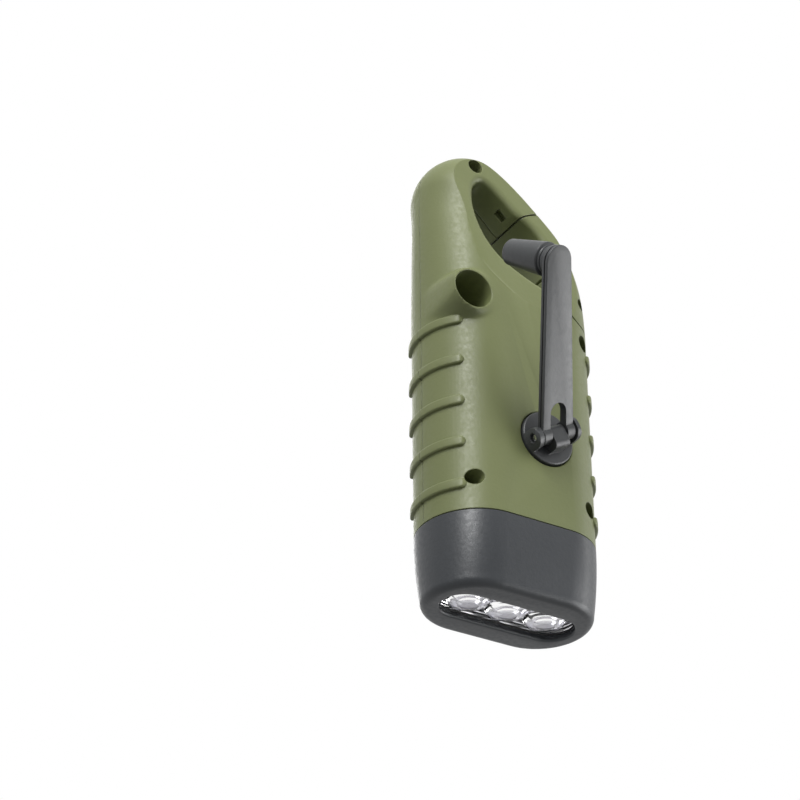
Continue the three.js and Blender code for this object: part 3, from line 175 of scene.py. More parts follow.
print("a quarter turn in three steps:", [(round(s, 2), round(c, 2)) for s, c in quarter(3)])


# %% Cutting and joining
def settle(piece):
    """What the modifiers make of a piece becomes its own plain mesh."""
    done = bpy.data.meshes.new_from_object(piece.evaluated_get(bpy.context.evaluated_depsgraph_get()))
    piece.modifiers.clear()
    old, piece.data = piece.data, done
    bpy.data.meshes.remove(old)
    return piece


def combine(body, tools, operation):
    """Boolean modifiers, applied one after another. The tools are used up."""
    for tool in tools:
        step = body.modifiers.new(operation, "BOOLEAN")
        step.operation, step.solver, step.object = operation, "MANIFOLD", tool
        settle(body)
        bpy.data.meshes.remove(tool.data)
    return body


def cut(body, *tools):
    return combine(body, tools, "DIFFERENCE")


def join(body, *tools):
    return combine(body, tools, "UNION")


def keep_inside(body, *tools):
    return combine(body, tools, "INTERSECT")


def copy_of(body):
    twin = bpy.data.objects.new("copy", body.data.copy())
    collection.objects.link(twin)
    return twin


print("helpers: settle, cut, join, keep_inside, copy_of")


# %% Slivers
def keep_largest(body):
    """Slivers that a cut has parted from the piece are dropped."""
    shape = bmesh.new()
    shape.from_mesh(body.data)
    unseen, islands = set(shape.verts), []
    while unseen:
        island, edge = set(), [next(iter(unseen))]
        while edge:
            vert = edge.pop()
            if vert in island:
                continue
            island.add(vert)
            edge.extend(e.other_vert(vert) for e in vert.link_edges)
        islands.append(island)
        unseen -= island
    islands.sort(key=len, reverse=True)
    bmesh.ops.delete(shape, geom=[v for island in islands[1:] for v in island], context="VERTS")
    shape.to_mesh(body.data)
    shape.free()
    return body


print("keep_largest drops loose slivers")

# %% [markdown]
# ## Finishes
# Every finish is one shader. A texture on Object coordinates makes its colour or its gloss wander and
# gives it a fine relief. An image could do that too, but a node pattern needs no unwrapping. Plain
# values stay on the shader's own sockets, which an export keeps.


# %% Nodes in one call
def node(tree, kind, settings=None, **inputs):
    """A node whose inputs are numbers, sockets, or nodes, of which the first output is meant.

    An input is named by its label, or by its place in the row as _0, _1 and so on."""
    made = tree.nodes.new(kind)
    for key, value in (settings or {}).items():
        setattr(made, key, value)
    for label, value in inputs.items():
        socket = made.inputs[int(label[1:]) if label[0] == "_" else label.replace("_", " ")]
        for source in value if isinstance(value, list) else [value]:
            if isinstance(source, bpy.types.Node):
                source = source.outputs[0]
            if isinstance(source, bpy.types.NodeSocket):
                tree.links.new(source, socket)
            else:
                socket.default_value = source
    return made


def maths(tree, operation, first, second):
    return node(tree, "ShaderNodeMath", {"operation": operation}, _0=first, _1=second)


print("node and maths work in materials and in geometry trees")


# %% A plain finish
def finish(name, color, roughness, metallic=0.0, **sockets):
    """A material with its plain values on the shader's own sockets."""
    look = bpy.data.materials.new(name)
    look.use_nodes = True
    shader = look.node_tree.nodes["Principled BSDF"]
    shader.inputs["Base Color"].default_value = (*color, 1)
    shader.inputs["Roughness"].default_value = roughness
    shader.inputs["Metallic"].default_value = metallic
    for socket, value in sockets.items():
        shader.inputs[socket.replace("_", " ")].default_value = value
    return look


print("a plain finish: colour, roughness, metal")


# %% A texture on a finish
def between(look, value, low, high, socket, span):
    """A texture's value mapped to a colour or a number and fed to the shader."""
    tree = look.node_tree
    if isinstance(low, tuple):
        made = node(tree, "ShaderNodeValToRGB", Fac=value)
        for stop, place, color in zip(made.color_ramp.elements, span, (low, high)):
            stop.position, stop.color = place, (*color, 1)
    else:
        made = node(tree, "ShaderNodeMapRange", Value=value, From_Min=span[0], From_Max=span[1],
                    To_Min=low, To_Max=high)
    tree.links.new(made.outputs[0], tree.nodes["Principled BSDF"].inputs[socket])


def grained(look, scale, detail, color=None, rough=None, height=0.0, edge=0.0, stretch=None,
            wave=False, span=(0.35, 0.65)):
    """One texture varies the colour and the gloss and gives relief. Lengths are in metres."""
    tree = look.node_tree
    place = node(tree, "ShaderNodeTexCoord").outputs["Object"]
    if stretch:
        place = node(tree, "ShaderNodeMapping", Vector=place, Scale=stretch)
    kind = "ShaderNodeTexWave" if wave else "ShaderNodeTexNoise"
    value = node(tree, kind, Vector=place, Scale=scale, Detail=detail).outputs["Fac"]
    if color:
        between(look, value, *color, "Base Color", span)
    if rough:
        between(look, value, *rough, "Roughness", span)
    if height:
        bump = node(tree, "ShaderNodeBump", Strength=1.0, Distance=height, Height=value)
        if edge:
            bevel = node(tree, "ShaderNodeBevel", {"samples": 6}, Radius=edge)
            tree.links.new(bevel.outputs[0], bump.inputs["Normal"])
        tree.links.new(bump.outputs[0], tree.nodes["Principled BSDF"].inputs["Normal"])
    return look


print("a texture adds: colour, gloss, relief and the rounding of edges")

# %% [markdown]
# ## Moulded plastic
# Both plastics come out of a spark-eroded mould, so they have a very fine grain, and their gloss
# wanders a little. A Bevel node rounds the look of each edge by a few tenths of a millimetre, which
# gives the thin bright lines along the parting edges. Real bevels on edges left by booleans would be
# less even.

# %% Plastics
WANDER, GRAIN = 0.05, 0.00004


def moulded(name, color, sheen, roughness, edge, gloss=0.35):
    """Satin plastic: colour and gloss wander slightly, and a fine grain covers it."""
    look = grained(finish(name, color, roughness, Specular_IOR_Level=gloss), 45, 3, color=(color, sheen))
    return grained(look, 900, 2, rough=(roughness - WANDER, roughness + WANDER), height=GRAIN, edge=edge)


olive = moulded("olive_plastic", (0.160, 0.182, 0.076), (0.172, 0.194, 0.084), 0.46, 0.0004, 0.3)
charcoal = moulded("charcoal_plastic", (0.033, 0.037, 0.042), (0.039, 0.043, 0.048), 0.40, 0.0003)
crank_black = moulded("crank_plastic", (0.046, 0.049, 0.051), (0.053, 0.056, 0.058), 0.38, 0.00025)
print("plastics:", olive.name, charcoal.name, crank_black.name)

# %% [markdown]
# ## The body's outline
# Seen from the front, the body is a straight grip under a slanting loop. The spine side runs straight
# up and turns over in an ellipse. The gate side comes down in two Bezier curves. A curve object could
# hold this outline, but as points it can be moved inwards and reused. Points lie closer together
# beside the knob's well, where the surface needs them.

# %% Outline of the body
CAP, GRIP, LOOP = 21.5, 60.5, 62.0
GRIP_TOP = CAP + GRIP
LENGTH = GRIP_TOP + LOOP
WIDTH, DEPTH, WALL = 52.0, 34.0, 2.0
HALF_W, HALF_D = WIDTH / 2, DEPTH / 2
OVER = 4.0
HUB, TILT, ARM = (-3.4, 48.0), math.radians(28), 47.5
WELL = (HUB[0] + ARM * math.sin(TILT), HUB[1] + ARM * math.cos(TILT))


def on_loop(shares):
    shares = np.asarray(shares, float)
    return np.stack([shares[..., 0] * WIDTH - HALF_W, GRIP_TOP + shares[..., 1] * LOOP], axis=-1)


def bezier(shares, steps):
    a, b, c, d = on_loop(shares)
    t = np.linspace(0, 1, steps + 1)[:, None]
    return (1 - t) ** 3 * a + 3 * t * (1 - t) ** 2 * b + 3 * t ** 2 * (1 - t) * c + t ** 3 * d


def sideways(points, distance, closed=False):
    """Points of a curve moved to the left of its direction."""
    if closed:
        run = np.roll(points, -1, axis=0) - np.roll(points, 1, axis=0)
    else:
        run = np.gradient(points, axis=0)
    run = run / np.linalg.norm(run, axis=1, keepdims=True)
    return points + np.stack([-run[:, 1], run[:, 0]], axis=1) * distance


def outline(inset):
    turn = on_loop((0.74, 0.782))
    low, high = WELL[1] - 12, WELL[1] + 12
    rise = np.concatenate([np.arange(low, high, 0.6), np.linspace(high, turn[1], 14)[:-1]])
    spine = np.stack([np.full(len(rise), HALF_W), rise], axis=1)
    angles = np.linspace(0, HALF_TURN / 2, 33)[:-1]
    tip = turn + np.stack([(HALF_W - turn[0]) * np.cos(angles), (LENGTH - turn[1]) * np.sin(angles)], axis=1)
    over = bezier([(0.74, 1), (0.587, 1), (0.202, 0.742), (0.1, 0.492)], 44)[:-1]
    down = bezier([(0.1, 0.492), (0.038, 0.34), (0, 0.161), (0, -0.065)], 24)
    feet = [(HALF_W, CAP - OVER)], [(-HALF_W, CAP - OVER)]
    return sideways(np.concatenate([feet[0], spine, tip, over, down, feet[1]]), inset)


print("outline points:", len(outline(0)))

# %% [markdown]
# ## A pillow for a body
# Across the grip the body is flat in the middle and falls away to its sides in an elliptic shoulder.
# The same rule goes on up the loop, where the shoulder gets narrower at the tip and narrower still at
# the gate. Subdivision could round a box like this, but a rule keeps the sizes exact. Each ring of the
# skin is the outline, drawn in towards a middle line. Round the knob's well the shoulder is filled up
# level with the flat face: points near the well are lifted there, and the lift fades out over a few
# millimetres, so the boss has no edge.

# %% Pillow
GRIP_SHOULDER, TIP_SHOULDER, GATE_SHOULDER = 16, 12, 10
FLAT_HALF = HALF_W - GRIP_SHOULDER
KNUCKLE = 8.0
HINGE, MIDDLE_END = on_loop((0.144, 0.261)), on_loop((0.596, 0.613))
BOSS_FLAT, BOSS_END, BOSS_RISE = 6.3, 8.6, 6


def smooth(value, low, high):
    share = np.clip((value - low) / (high - low), 0, 1)
    return share * share * (3 - 2 * share)


def shoulder(points):
    gate_side = 1 - smooth(points[:, 0], -HALF_W / 4, HALF_W / 2)
    on_gate = smooth(points[:, 1], GRIP_TOP - OVER, HINGE[1] + KNUCKLE) * gate_side
    on_tip = smooth(points[:, 1], MIDDLE_END[1], LENGTH) * (1 - gate_side)
    return (GRIP_SHOULDER + (GATE_SHOULDER - GRIP_SHOULDER) * on_gate
            + (TIP_SHOULDER - GRIP_SHOULDER) * on_tip)


def boss(points, level):
    """Lifts points round the knob's well, behind the middle plane, to the level of the flat face."""
    near = np.hypot(points[:, 0] - WELL[0], points[:, 2] - WELL[1])
    lift = (1 - smooth(near, BOSS_FLAT, BOSS_END)) * smooth(points[:, 1], 0, BOSS_RISE)
    points[:, 1] += (level - points[:, 1]) * lift
    return points


def pillow(inset):
    edge = outline(inset)
    middle = np.stack([smooth(edge[:, 1], GRIP_TOP - OVER, MIDDLE_END[1]) * MIDDLE_END[0],
                       np.minimum(edge[:, 1], MIDDLE_END[1])], axis=1)
    inward = middle - edge
    inward /= np.linalg.norm(inward, axis=1, keepdims=True)
    rings = []
    for angle in np.linspace(-HALF_TURN / 2, HALF_TURN / 2, 53):
        reach = (shoulder(edge) - inset / 2) * (1 - math.cos(angle))
        ring = along("y", edge + inward * reach[:, None], (HALF_D - inset) * math.sin(angle))
        rings.append(boss(ring, HALF_D - inset))
    return skin(rings)


print("the boss stands round", [round(v, 1) for v in WELL])


# %% [markdown]
# ## The eye and its sunken floor
# On both faces the loop is dished: a plane that leans inwards by five degrees, met by a cove along a
# ridge. The eye goes through it, and its rim is rolled over. Each is a cutting tool here, a stack of
# rings offset sideways from one curve, so the rounding is the same all the way round. A Bevel modifier
# would stumble over the uneven edges that a boolean leaves.

# %% Points of the ridge and the eye
FLOOR_FOOT = GRIP_TOP + LOOP * 0.13
LEAN = math.tan(math.radians(5))
COVE, EYE_ROLL = 2.6, 2.2
RIDGE = [(0.827, 1.06), (0.913, 0.887), (0.927, 0.71), (0.9, 0.516), (0.817, 0.363), (0.673, 0.242),
         (0.5, 0.145), (0.231, 0.081)]
EYE = [(0.277, 0.316), (0.315, 0.273), (0.394, 0.281), (0.529, 0.326), (0.644, 0.387), (0.723, 0.471),
       (0.773, 0.581), (0.788, 0.694), (0.769, 0.784), (0.719, 0.823), (0.658, 0.803), (0.577, 0.742),
       (0.512, 0.687), (0.435, 0.648), (0.362, 0.581), (0.31, 0.477), (0.281, 0.379)]


def spline(points, steps, closed=False, power=0.5):
    """A curve through points. The power is 0.5 for a centripetal curve and 0 for a plain one."""
    points = np.asarray(points, float)
    if closed:
        padded = np.concatenate([points[-1:], points, points[:2]])
    else:
        padded = np.concatenate([points[:1] * 2 - points[1:2], points, points[-1:] * 2 - points[-2:-1]])
    made = []
    for a, b, c, d in zip(padded, padded[1:], padded[2:], padded[3:]):
        gaps = [max(np.linalg.norm(q - p), 1e-6) ** power for p, q in ((a, b), (b, c), (c, d))]
        start = ((b - a) / gaps[0] - (c - a) / (gaps[0] + gaps[1]) + (c - b) / gaps[1]) * gaps[1]
        stop = ((c - b) / gaps[1] - (d - b) / (gaps[1] + gaps[2]) + (d - c) / gaps[2]) * gaps[1]
        for t in np.linspace(0, 1, steps, endpoint=False):
            made.append(b + start * t + (3 * (c - b) - 2 * start - stop) * t ** 2
                        + (2 * (b - c) + start + stop) * t ** 3)
    if not closed:
        made.append(points[-1])
    return np.array(made)


eye = spline(on_loop(EYE), 9, closed=True)
print("eye points:", len(eye))


# %% Tools for the floor and the rim
def face_at(z):
    return HALF_D - np.maximum(z - FLOOR_FOOT, 0) * LEAN


def floor_tool(side):
    ridge = spline(on_loop(RIDGE), 10, power=0)
    rings = []
    for spread, lift in [*[(COVE * s, COVE * (1 - c)) for s, c in quarter(9)], (COVE, COVE + OVER)]:
        line = sideways(ridge, spread)
        corners = [(-WIDTH, line[-1][1]), (-WIDTH, LENGTH + OVER), (line[0][0], LENGTH + OVER)]
        ring = along("y", np.concatenate([line, corners]), 0)
        ring[:, 1] = side * (HALF_D - (ring[:, 2] - FLOOR_FOOT) * LEAN + lift)
        rings.append(ring)
    return skin(rings)


def eye_rim_tool(side):
    rings = []
    roll = [(EYE_ROLL * (1 - c), EYE_ROLL * (s - 1)) for s, c in quarter(10)]
    for spread, lift in [*roll, (EYE_ROLL, OVER)]:
        ring = along("y", sideways(eye, -spread, closed=True), 0)
        ring[:, 1] = side * (face_at(ring[:, 2]) + lift)
        rings.append(ring)
    return skin(rings)


print("the floor sinks to", round(float(face_at(LENGTH)), 2), "mm from the middle at the tip")

# %% [markdown]
# ## Grip ribs with Geometry Nodes
# Five ribs wrap each side of the grip. They all follow the same section of the body, one pitch apart,
# so one path is enough: the node tree sweeps a rounded bar along it and repeats the bar. Ten swept
# curves would do the same with ten things to edit. A bar has steeper sides than an oval, so its lower
# side stays in a crisp shadow. The ends taper.


# %% Helpers for node trees
def new_tree(name, sizes):
    """A node tree with a geometry input and one named input for each size."""
    tree = bpy.data.node_groups.new(name, "GeometryNodeTree")
    for way in ("INPUT", "OUTPUT"):
        tree.interface.new_socket("Geometry", in_out=way, socket_type="NodeSocketGeometry")
    for label, value in sizes.items():
        kind = {int: "NodeSocketInt", float: "NodeSocketFloat"}.get(type(value), "NodeSocketMaterial")
        tree.interface.new_socket(label, in_out="INPUT", socket_type=kind)
    return tree, node(tree, "NodeGroupInput").outputs


def end_tree(tree, copies, look):
    """Every tree ends with real geometry that carries its material."""
    real = node(tree, "GeometryNodeRealizeInstances", Geometry=copies)
    painted = node(tree, "GeometryNodeSetMaterial", Geometry=real, Material=look)
    node(tree, "NodeGroupOutput", Geometry=painted)
    return tree


def in_a_row(tree, given, shape, axis):
    """Copies of a shape, one pitch apart along an axis."""
    step = node(tree, "ShaderNodeCombineXYZ", **{axis: given["Pitch"]})
    line = node(tree, "GeometryNodeMeshLine", Count=given["Count"], Offset=step)
    copies = node(tree, "GeometryNodeInstanceOnPoints", Points=line, Instance=shape)
    return end_tree(tree, copies, given["Finish"])


def run_tree(piece, tree, sizes):
    """The tree's result as a plain mesh."""
    step = piece.modifiers.new(tree.name, "NODES")
    step.node_group = tree
    for socket in tree.interface.items_tree:
        if socket.in_out == "INPUT" and socket.name in sizes:
            step[socket.identifier] = sizes[socket.name]
    return settle(piece)


def line_object(points):
    return new_piece(points, [(i, i + 1) for i in range(len(points) - 1)], [])


print("helpers: new_tree, end_tree, in_a_row, run_tree, line_object")

# %% The rib tree
RIB_FOOT, RIB_PITCH, RIB_TAPER = CAP + 7.9, 13.03, 1.5
rib_sizes = {"Count": 5, "Pitch": RIB_PITCH * MM, "Width": 3.0 * MM, "Proud": 0.87 * MM,
             "Round": 0.6 * MM, "Finish": olive}


def rib_tree():
    tree, given = new_tree("grip ribs", rib_sizes)
    path = node(tree, "GeometryNodeMeshToCurve", Mesh=given["Geometry"])
    taper = node(tree, "GeometryNodeInputNamedAttribute", {"data_type": "FLOAT"}, Name="taper")
    faced = node(tree, "GeometryNodeSetCurveNormal", {"mode": "Z_UP"}, Curve=path)
    thick = maths(tree, "MULTIPLY", given["Proud"], 2.0)
    square = node(tree, "GeometryNodeCurvePrimitiveQuadrilateral", Width=thick, Height=given["Width"])
    soft = node(tree, "GeometryNodeFilletCurve", {"mode": "POLY"}, Curve=square, Count=6,
                Radius=given["Round"])
    bar = node(tree, "GeometryNodeCurveToMesh", Curve=faced, Profile_Curve=soft, Scale=taper,
               Fill_Caps=True)
    return in_a_row(tree, given, bar, "Z")


def rib_row(tree, side):
    """Path along the body's section from front to back, with rounded ends."""
    angles = np.linspace(math.asin(-10.4 / HALF_D), math.asin(13 / HALF_D), 61)
    section = np.stack([side * (FLAT_HALF + GRIP_SHOULDER * np.cos(angles)), HALF_D * np.sin(angles),
                        np.full(61, RIB_FOOT)], axis=1)[::side]
    run = np.concatenate([[0], np.cumsum(np.linalg.norm(np.diff(section, axis=0), axis=1))])
    near = np.minimum(run, run[-1] - run)
    taper = np.sqrt(np.clip(1 - (1 - np.clip(near / RIB_TAPER, 0.02, 1)) ** 2, 0, 1))
    path = line_object(section)
    path.data.attributes.new("taper", "FLOAT", "POINT").data.foreach_set("value", taper.astype(np.float32))
    return run_tree(path, tree, rib_sizes)


ribs_tree = rib_tree()
ribs = [rib_row(ribs_tree, side) for side in (1, -1)]
print("ribs:", sum(len(row.data.vertices) for row in ribs), "points")

# %% [markdown]
# ## The moulding
# Ribs, dished floors and the eye are joined to the pillow and cut from it. Then the whole moulding is
# made a little thinner towards the tip by moving its points. A Lattice would bend it too, but a rule
# also tells later pieces, such as the gate's pin, where the surface has gone.

# %% Moulding
FIT = 0.3


def thinness(z):
    """The torch gets a little thinner towards the tip of its loop."""
    return 1 - 0.16 * smooth(z, GRIP_TOP + OVER, LENGTH)


def thin_out(piece):
    points = np.empty(len(piece.data.vertices) * 3)
    piece.data.vertices.foreach_get("co", points)
    points = points.reshape(-1, 3)
    middle = axis_place[1]
    points[:, 1] = middle + (points[:, 1] - middle) * thinness(points[:, 2] / MM)
    piece.data.vertices.foreach_set("co", points.ravel())
    piece.data.update()
    return piece


def moulding():
    body = cut(pillow(0.02), floor_tool(1), floor_tool(-1))
    join(body, *ribs)
    through = prism("y", eye, -DEPTH, DEPTH)
    below = block((-WIDTH, WIDTH), (-DEPTH, DEPTH), (-OVER, CAP + FIT / 2))
    return thin_out(cut(body, through, eye_rim_tool(1), eye_rim_tool(-1), below))


body = moulding()
print("moulding:", len(body.data.polygons), "faces")

# %% [markdown]
# ## The gate
# The gate is the part of the loop between its hinge and the nose. It turns on a pin between two lugs
# of the shells, and its root is slotted for them. It is cut out of the finished moulding, so its
# surface runs on from the shells without a step.

# %% Gate
HINGE_AT = (HINGE[0], 0, HINGE[1])
PIN, LUG, LUG_HALF = 1.4, 4.4, 6.3
SEAM, GATE_REACH = 0.5, 31.2


def arc(centre, radius, start, end, steps=40):
    angles = np.radians(np.linspace(start, end, steps))
    return np.asarray(centre) + radius * np.stack([np.cos(angles), np.sin(angles)], axis=1)


def sector(inner, outer, start, end):
    return np.concatenate([arc(HINGE, outer, start, end), arc(HINGE, inner, end, start)])


def gate_region(gap, start):
    """The gate's side of the loop. Its edge is an arc at the knuckle and another at the nose."""
    reach = GATE_REACH + gap
    high, low = on_loop(EYE[11]), on_loop(EYE[0])
    edge = np.concatenate([
        arc(HINGE, KNUCKLE + gap, start, -90),
        [(-WIDTH, HINGE[1] - KNUCKLE - gap), (-WIDTH, HINGE[1] + reach)],
        arc(HINGE, reach, 90, 30), [(high[0], low[1] + KNUCKLE)]])
    return prism("y", edge, -DEPTH, DEPTH)


def gate():
    piece = keep_inside(copy_of(body), gate_region(-SEAM / 2, 26))
    slot = LUG_HALF + FIT
    middle = on_loop(EYE[15]) * 0.7 + on_loop(EYE[0]) * 0.3
    step = block((middle[0] - OVER, middle[0] + OVER), (-DEPTH, DEPTH), (middle[1] - 0.4, middle[1] + 0.4))
    cut(step, rod("y", np.linalg.norm(middle - HINGE) - 0.7, -DEPTH * 2, DEPTH * 2, HINGE_AT, 96))
    cut(piece, rod("y", LUG + FIT, -slot, slot, HINGE_AT, 64),
        prism("y", sector(LUG / 2, KNUCKLE + FIT, -92, 10), -slot, slot),
        rod("y", PIN + FIT, -DEPTH, DEPTH, HINGE_AT), step)
    return keep_largest(piece)


loop_gate = gate()
print("gate:", len(loop_gate.data.polygons), "faces")

# %% [markdown]
# ## The two shells
# The body is parted at its middle plane, and a hair of a gap stays between the halves. Inside, posts
# hold the works. Outside there are the screws' wells, the crank's recess and the knob's well at the
# back, and the panel's tray and the button's hole at the front. Solidify could hollow the halves, but
# cutting out a smaller pillow leaves the posts standing in one step.

# %% Places on the shells
SCREWS = [tuple(on_loop((0.758, 0.897))), tuple(on_loop((0.135, 0.055))), (18.4, 31.2), (-18.4, 31.2)]
PLATE_POSTS = [(14.032, 45.625), (10.535, 72.188), (-14.502, 77.691)]
AXLES = [(6.782, 58.182), (-4.249, 67.438), (-13.505, 56.407)]
PANEL_POSTS = [(x, z) for x in (-14.4, 13) for z in (41.4, 75)]
BUTTON = (0, -3.9, 39.6)
WELL_RADIUS, POST, PILOT = 5.8, 3.6, 1.4
PANE_X, PANE_FOOT, PANE_WIDTH, PANE_HEIGHT = 0.3, CAP + 12.5, 21, 39.2
ALL_X, ALL_Y = (-WIDTH, WIDTH), (-DEPTH, DEPTH)


def rods(places, radius, start, end, steps=32):
    return [rod("y", radius, start, end, (x, 0, z), steps) for x, z in places]


def rounded_box(west, foot, width, height, radius):
    low, high = foot + radius, foot + height - radius
    left, right = west + radius, west + width - radius
    corners = [(right, low), (right, high), (left, high), (left, low)]
    return np.concatenate([arc(corner, radius, 90 * k - 90, 90 * k, 10) for k, corner in enumerate(corners)])


def window_outline(grow, radius=1.6):
    return rounded_box(PANE_X - PANE_WIDTH / 2 - grow, PANE_FOOT - grow, PANE_WIDTH + grow * 2,
                       PANE_HEIGHT + grow * 2, radius)


print("screws at", [(round(float(x), 1), round(float(z), 1)) for x, z in SCREWS])


# %% A hollow half with its lugs and catches
def hinge_lugs():
    lug = rod("y", LUG, -LUG_HALF, LUG_HALF, HINGE_AT, 64)
    join(lug, prism("y", sector(LUG / 2, KNUCKLE + 2 * FIT, -86, -22), -LUG_HALF, LUG_HALF))
    return cut(lug, rod("y", LUG + FIT, -2.6, 2.6, HINGE_AT, 64), rod("y", PIN + FIT, *ALL_Y, HINGE_AT))


def catches():
    """Two square holes, stood on a corner, in the wall beside the nose."""
    corners = np.array([(-1.7, -1.8), (1.7, -1.8), (1.7, 1.8), (-1.7, 1.8)])
    turn = np.array([[1, 1], [-1, 1]]) * math.sqrt(0.5)
    square = corners @ turn + on_loop((0.55, 0.72))
    return [prism("y", square, middle - 1.3, middle + 1.3) for middle in (-6.6, 6.6)]


def shell(side, posts):
    ends = (FIT / 2, DEPTH) if side > 0 else (-DEPTH, -FIT / 2)
    piece = cut(copy_of(body), gate_region(SEAM / 2, 4))
    keep_inside(join(piece, hinge_lugs()), block(ALL_X, ends, (-OVER, LENGTH + OVER)))
    room = keep_inside(pillow(WALL), block(ALL_X, ALL_Y, (-OVER, GRIP_TOP)))
    inside = keep_inside(join(posts[0], *posts[1:]), pillow(WALL / 2))
    return cut(piece, cut(room, inside), *catches(), rod("y", PIN + FIT, -DEPTH, 11.3, HINGE_AT),
               rod("y", 1.25, 10, DEPTH, HINGE_AT))


print("the halves part", FIT, "mm apart")

# %% The back and the front
recess = [(8.3, 14.7), (8.3, 16.5), (8.36, 16.75), (8.52, 16.93), (8.75, 17.02), (8.75, 30)]
well = [(WELL_RADIUS, 2), (WELL_RADIUS, 16.4), (5.88, 16.75), (6.15, 17.0), (6.15, 30)]
rear = shell(1, [
    *rods(SCREWS[2:], POST, 0, HALF_D), *rods([HUB], 10.3, 12, HALF_D, 64),
    *rods(AXLES, 2.2, 11, HALF_D), *rods(PLATE_POSTS, 2.6, 1.1, HALF_D)])
cut(rear, *rods(SCREWS, 2.3, 5, DEPTH, 48), *rods(SCREWS, PILOT, -DEPTH, 6),
    *rods([HUB], 5.9, 0, HALF_D, 64), *rods(AXLES, 1.1, 10.7, 13.5), *rods(PLATE_POSTS, 1.2, 0, 5.5),
    turned("y", recess, (HUB[0], 0, HUB[1]), 96), turned("y", well, (WELL[0], 0, WELL[1]), 80))
front = shell(-1, [
    *rods(SCREWS[2:], POST, -HALF_D, 0), *rods(PANEL_POSTS, 1.6, -HALF_D, -11.6),
    *[block(x, (-HALF_D, -7.1), (26.1, 37.7)) for x in ((-9.6, -8.4), (8.4, 9.6))]])
cut(front, *rods(SCREWS, PILOT, -8.3, OVER), prism("y", window_outline(2.2), -DEPTH, -13.2),
    rod("x", 3.5, -WIDTH, -13, BUTTON), rod("x", 4.2, -23.1, -13, BUTTON))
keep_largest(rear)
keep_largest(front)
bpy.data.meshes.remove(body.data)
print("back and front cut")

# %% [markdown]
# ## Faces that look smooth
# Booleans leave many small facets. Shading them smooth, with sharp edges where two faces meet at a
# real angle, gives clean highlights. A piece then says which solids it stands for and which body it
# rides on.


# %% Finishing a piece
def dress(piece, name, look, slot, body_name, *nodes, sharp=32):
    piece.name = piece.data.name = name
    piece.data.materials.clear()
    piece.data.materials.append(look)
    piece.data.polygons.foreach_set("material_index", [0] * len(piece.data.polygons))
    piece.data.polygons.foreach_set("use_smooth", [True] * len(piece.data.polygons))
    piece.data.set_sharp_from_angle(angle=math.radians(sharp))
    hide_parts(*nodes)
    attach(piece, body_name)
    print(f"{name}: {len(piece.data.polygons)} faces of {look.name}, on {body_name}")
    return piece


dress(rear, "shell_back", olive, "green_abs", "housing", "rear_shell")
dress(front, "shell_front", olive, "green_abs", "housing", "front_shell")
dress(loop_gate, "loop_gate", olive, "green_abs", "gate", "gate")

# %% [markdown]
# ## The head cap
# The cap carries the body's section down to the rim and draws it in. A box with a Bevel modifier would
# miss that curve, so the loft is a stack of the same rounded section, and the last few rings turn
# under in a quarter circle to make the soft rim.

# %% Sections of the cap and the slot
RIM_WIDTH, RIM_DEPTH, RIM_ROUND = 49.8, 30.0, 2.4
SLOT, SLOT_ROLL = (40.4, 13.2), 0.7


def cap_section(z, inset=0.0):
    spread = 1 - (1 - np.clip((z - RIM_ROUND) / (CAP - RIM_ROUND), 0, 1)) ** 2
    drawn = inset + RIM_ROUND * (1 - math.sqrt(1 - max(1 - z / RIM_ROUND, 0) ** 2))
    width = (RIM_WIDTH + (WIDTH - RIM_WIDTH) * spread) / 2 - drawn
    depth = (RIM_DEPTH + (DEPTH - RIM_DEPTH) * spread) / 2 - drawn
    angles = np.linspace(-HALF_TURN / 2, HALF_TURN / 2, 49)
    side = np.stack([FLAT_HALF + (width - FLAT_HALF) * np.cos(angles), depth * np.sin(angles)], axis=1)
    return along("z", np.concatenate([side, -side]), z)


def cap_loft(inset, heights):
    return skin([cap_section(z, inset) for z in heights])


def stadium(length, width):
    middle = (length - width) / 2
    angles = np.linspace(-HALF_TURN / 2, HALF_TURN / 2, 25)
    end = np.stack([middle + np.cos(angles) * width / 2, np.sin(angles) * width / 2], axis=1)
    return np.concatenate([end, -end])


def slot_outline(grow=0.0):
    return stadium(SLOT[0] + 2 * grow, SLOT[1] + 2 * grow)


def slot_tool():
    """The slot's edge is rolled over by a quarter circle."""
    levels = [(SLOT_ROLL * (1 - s), SLOT_ROLL * (1 - c)) for s, c in quarter(8)]
    return skin([along("z", slot_outline(grow), height)
                 for grow, height in [(SLOT_ROLL, -OVER), *levels, (0, 6)]])


print("section at the rim:", cap_section(0).max(axis=0).round(1).tolist())

# %% Cap
rim = [RIM_ROUND * (1 - c) for s, c in quarter(10)[:-1]]
cap = cap_loft(0, [*rim, *np.linspace(RIM_ROUND, CAP - 0.5, 12), CAP - FIT / 2])
hollow = cut(cap_loft(WALL, [WALL * 2, CAP / 2, CAP + OVER]), prism("z", stadium(43, 19.2), 0, 13.8))
cut(cap, hollow)
collar = join(cap_loft(1, [CAP - 2, CAP - FIT]), cap_loft(2.6, [CAP - 2, CAP + 3.5]))
join(cap, cut(collar, cap_loft(3.8, [17.5, 29])))
cut(cap, slot_tool(), prism("z", slot_outline(0.8), 1.7, 25))
dress(keep_largest(cap), "head_cap", charcoal, "black_abs", "housing", "head_bezel")

# %% [markdown]
# ## Lens, cups and lamps
# One clear plate closes the slot. Over each lamp it swells into a dome with a stepped ring, which
# gathers the light. Behind it lies a metallised block with three deep cups. All of these are turned
# forms, so each is a profile drawn once and spun, which is what a Screw modifier would do too.

# %% Lens and reflector
LAMP_PITCH, LAMP_SEAT = 12.1, 13.1
LAMPS = [(-LAMP_PITCH, 0, 0), (0, 0, 0), (LAMP_PITCH, 0, 0)]
LENS_FOOT, LENS_THICK = 2.6, 1.2


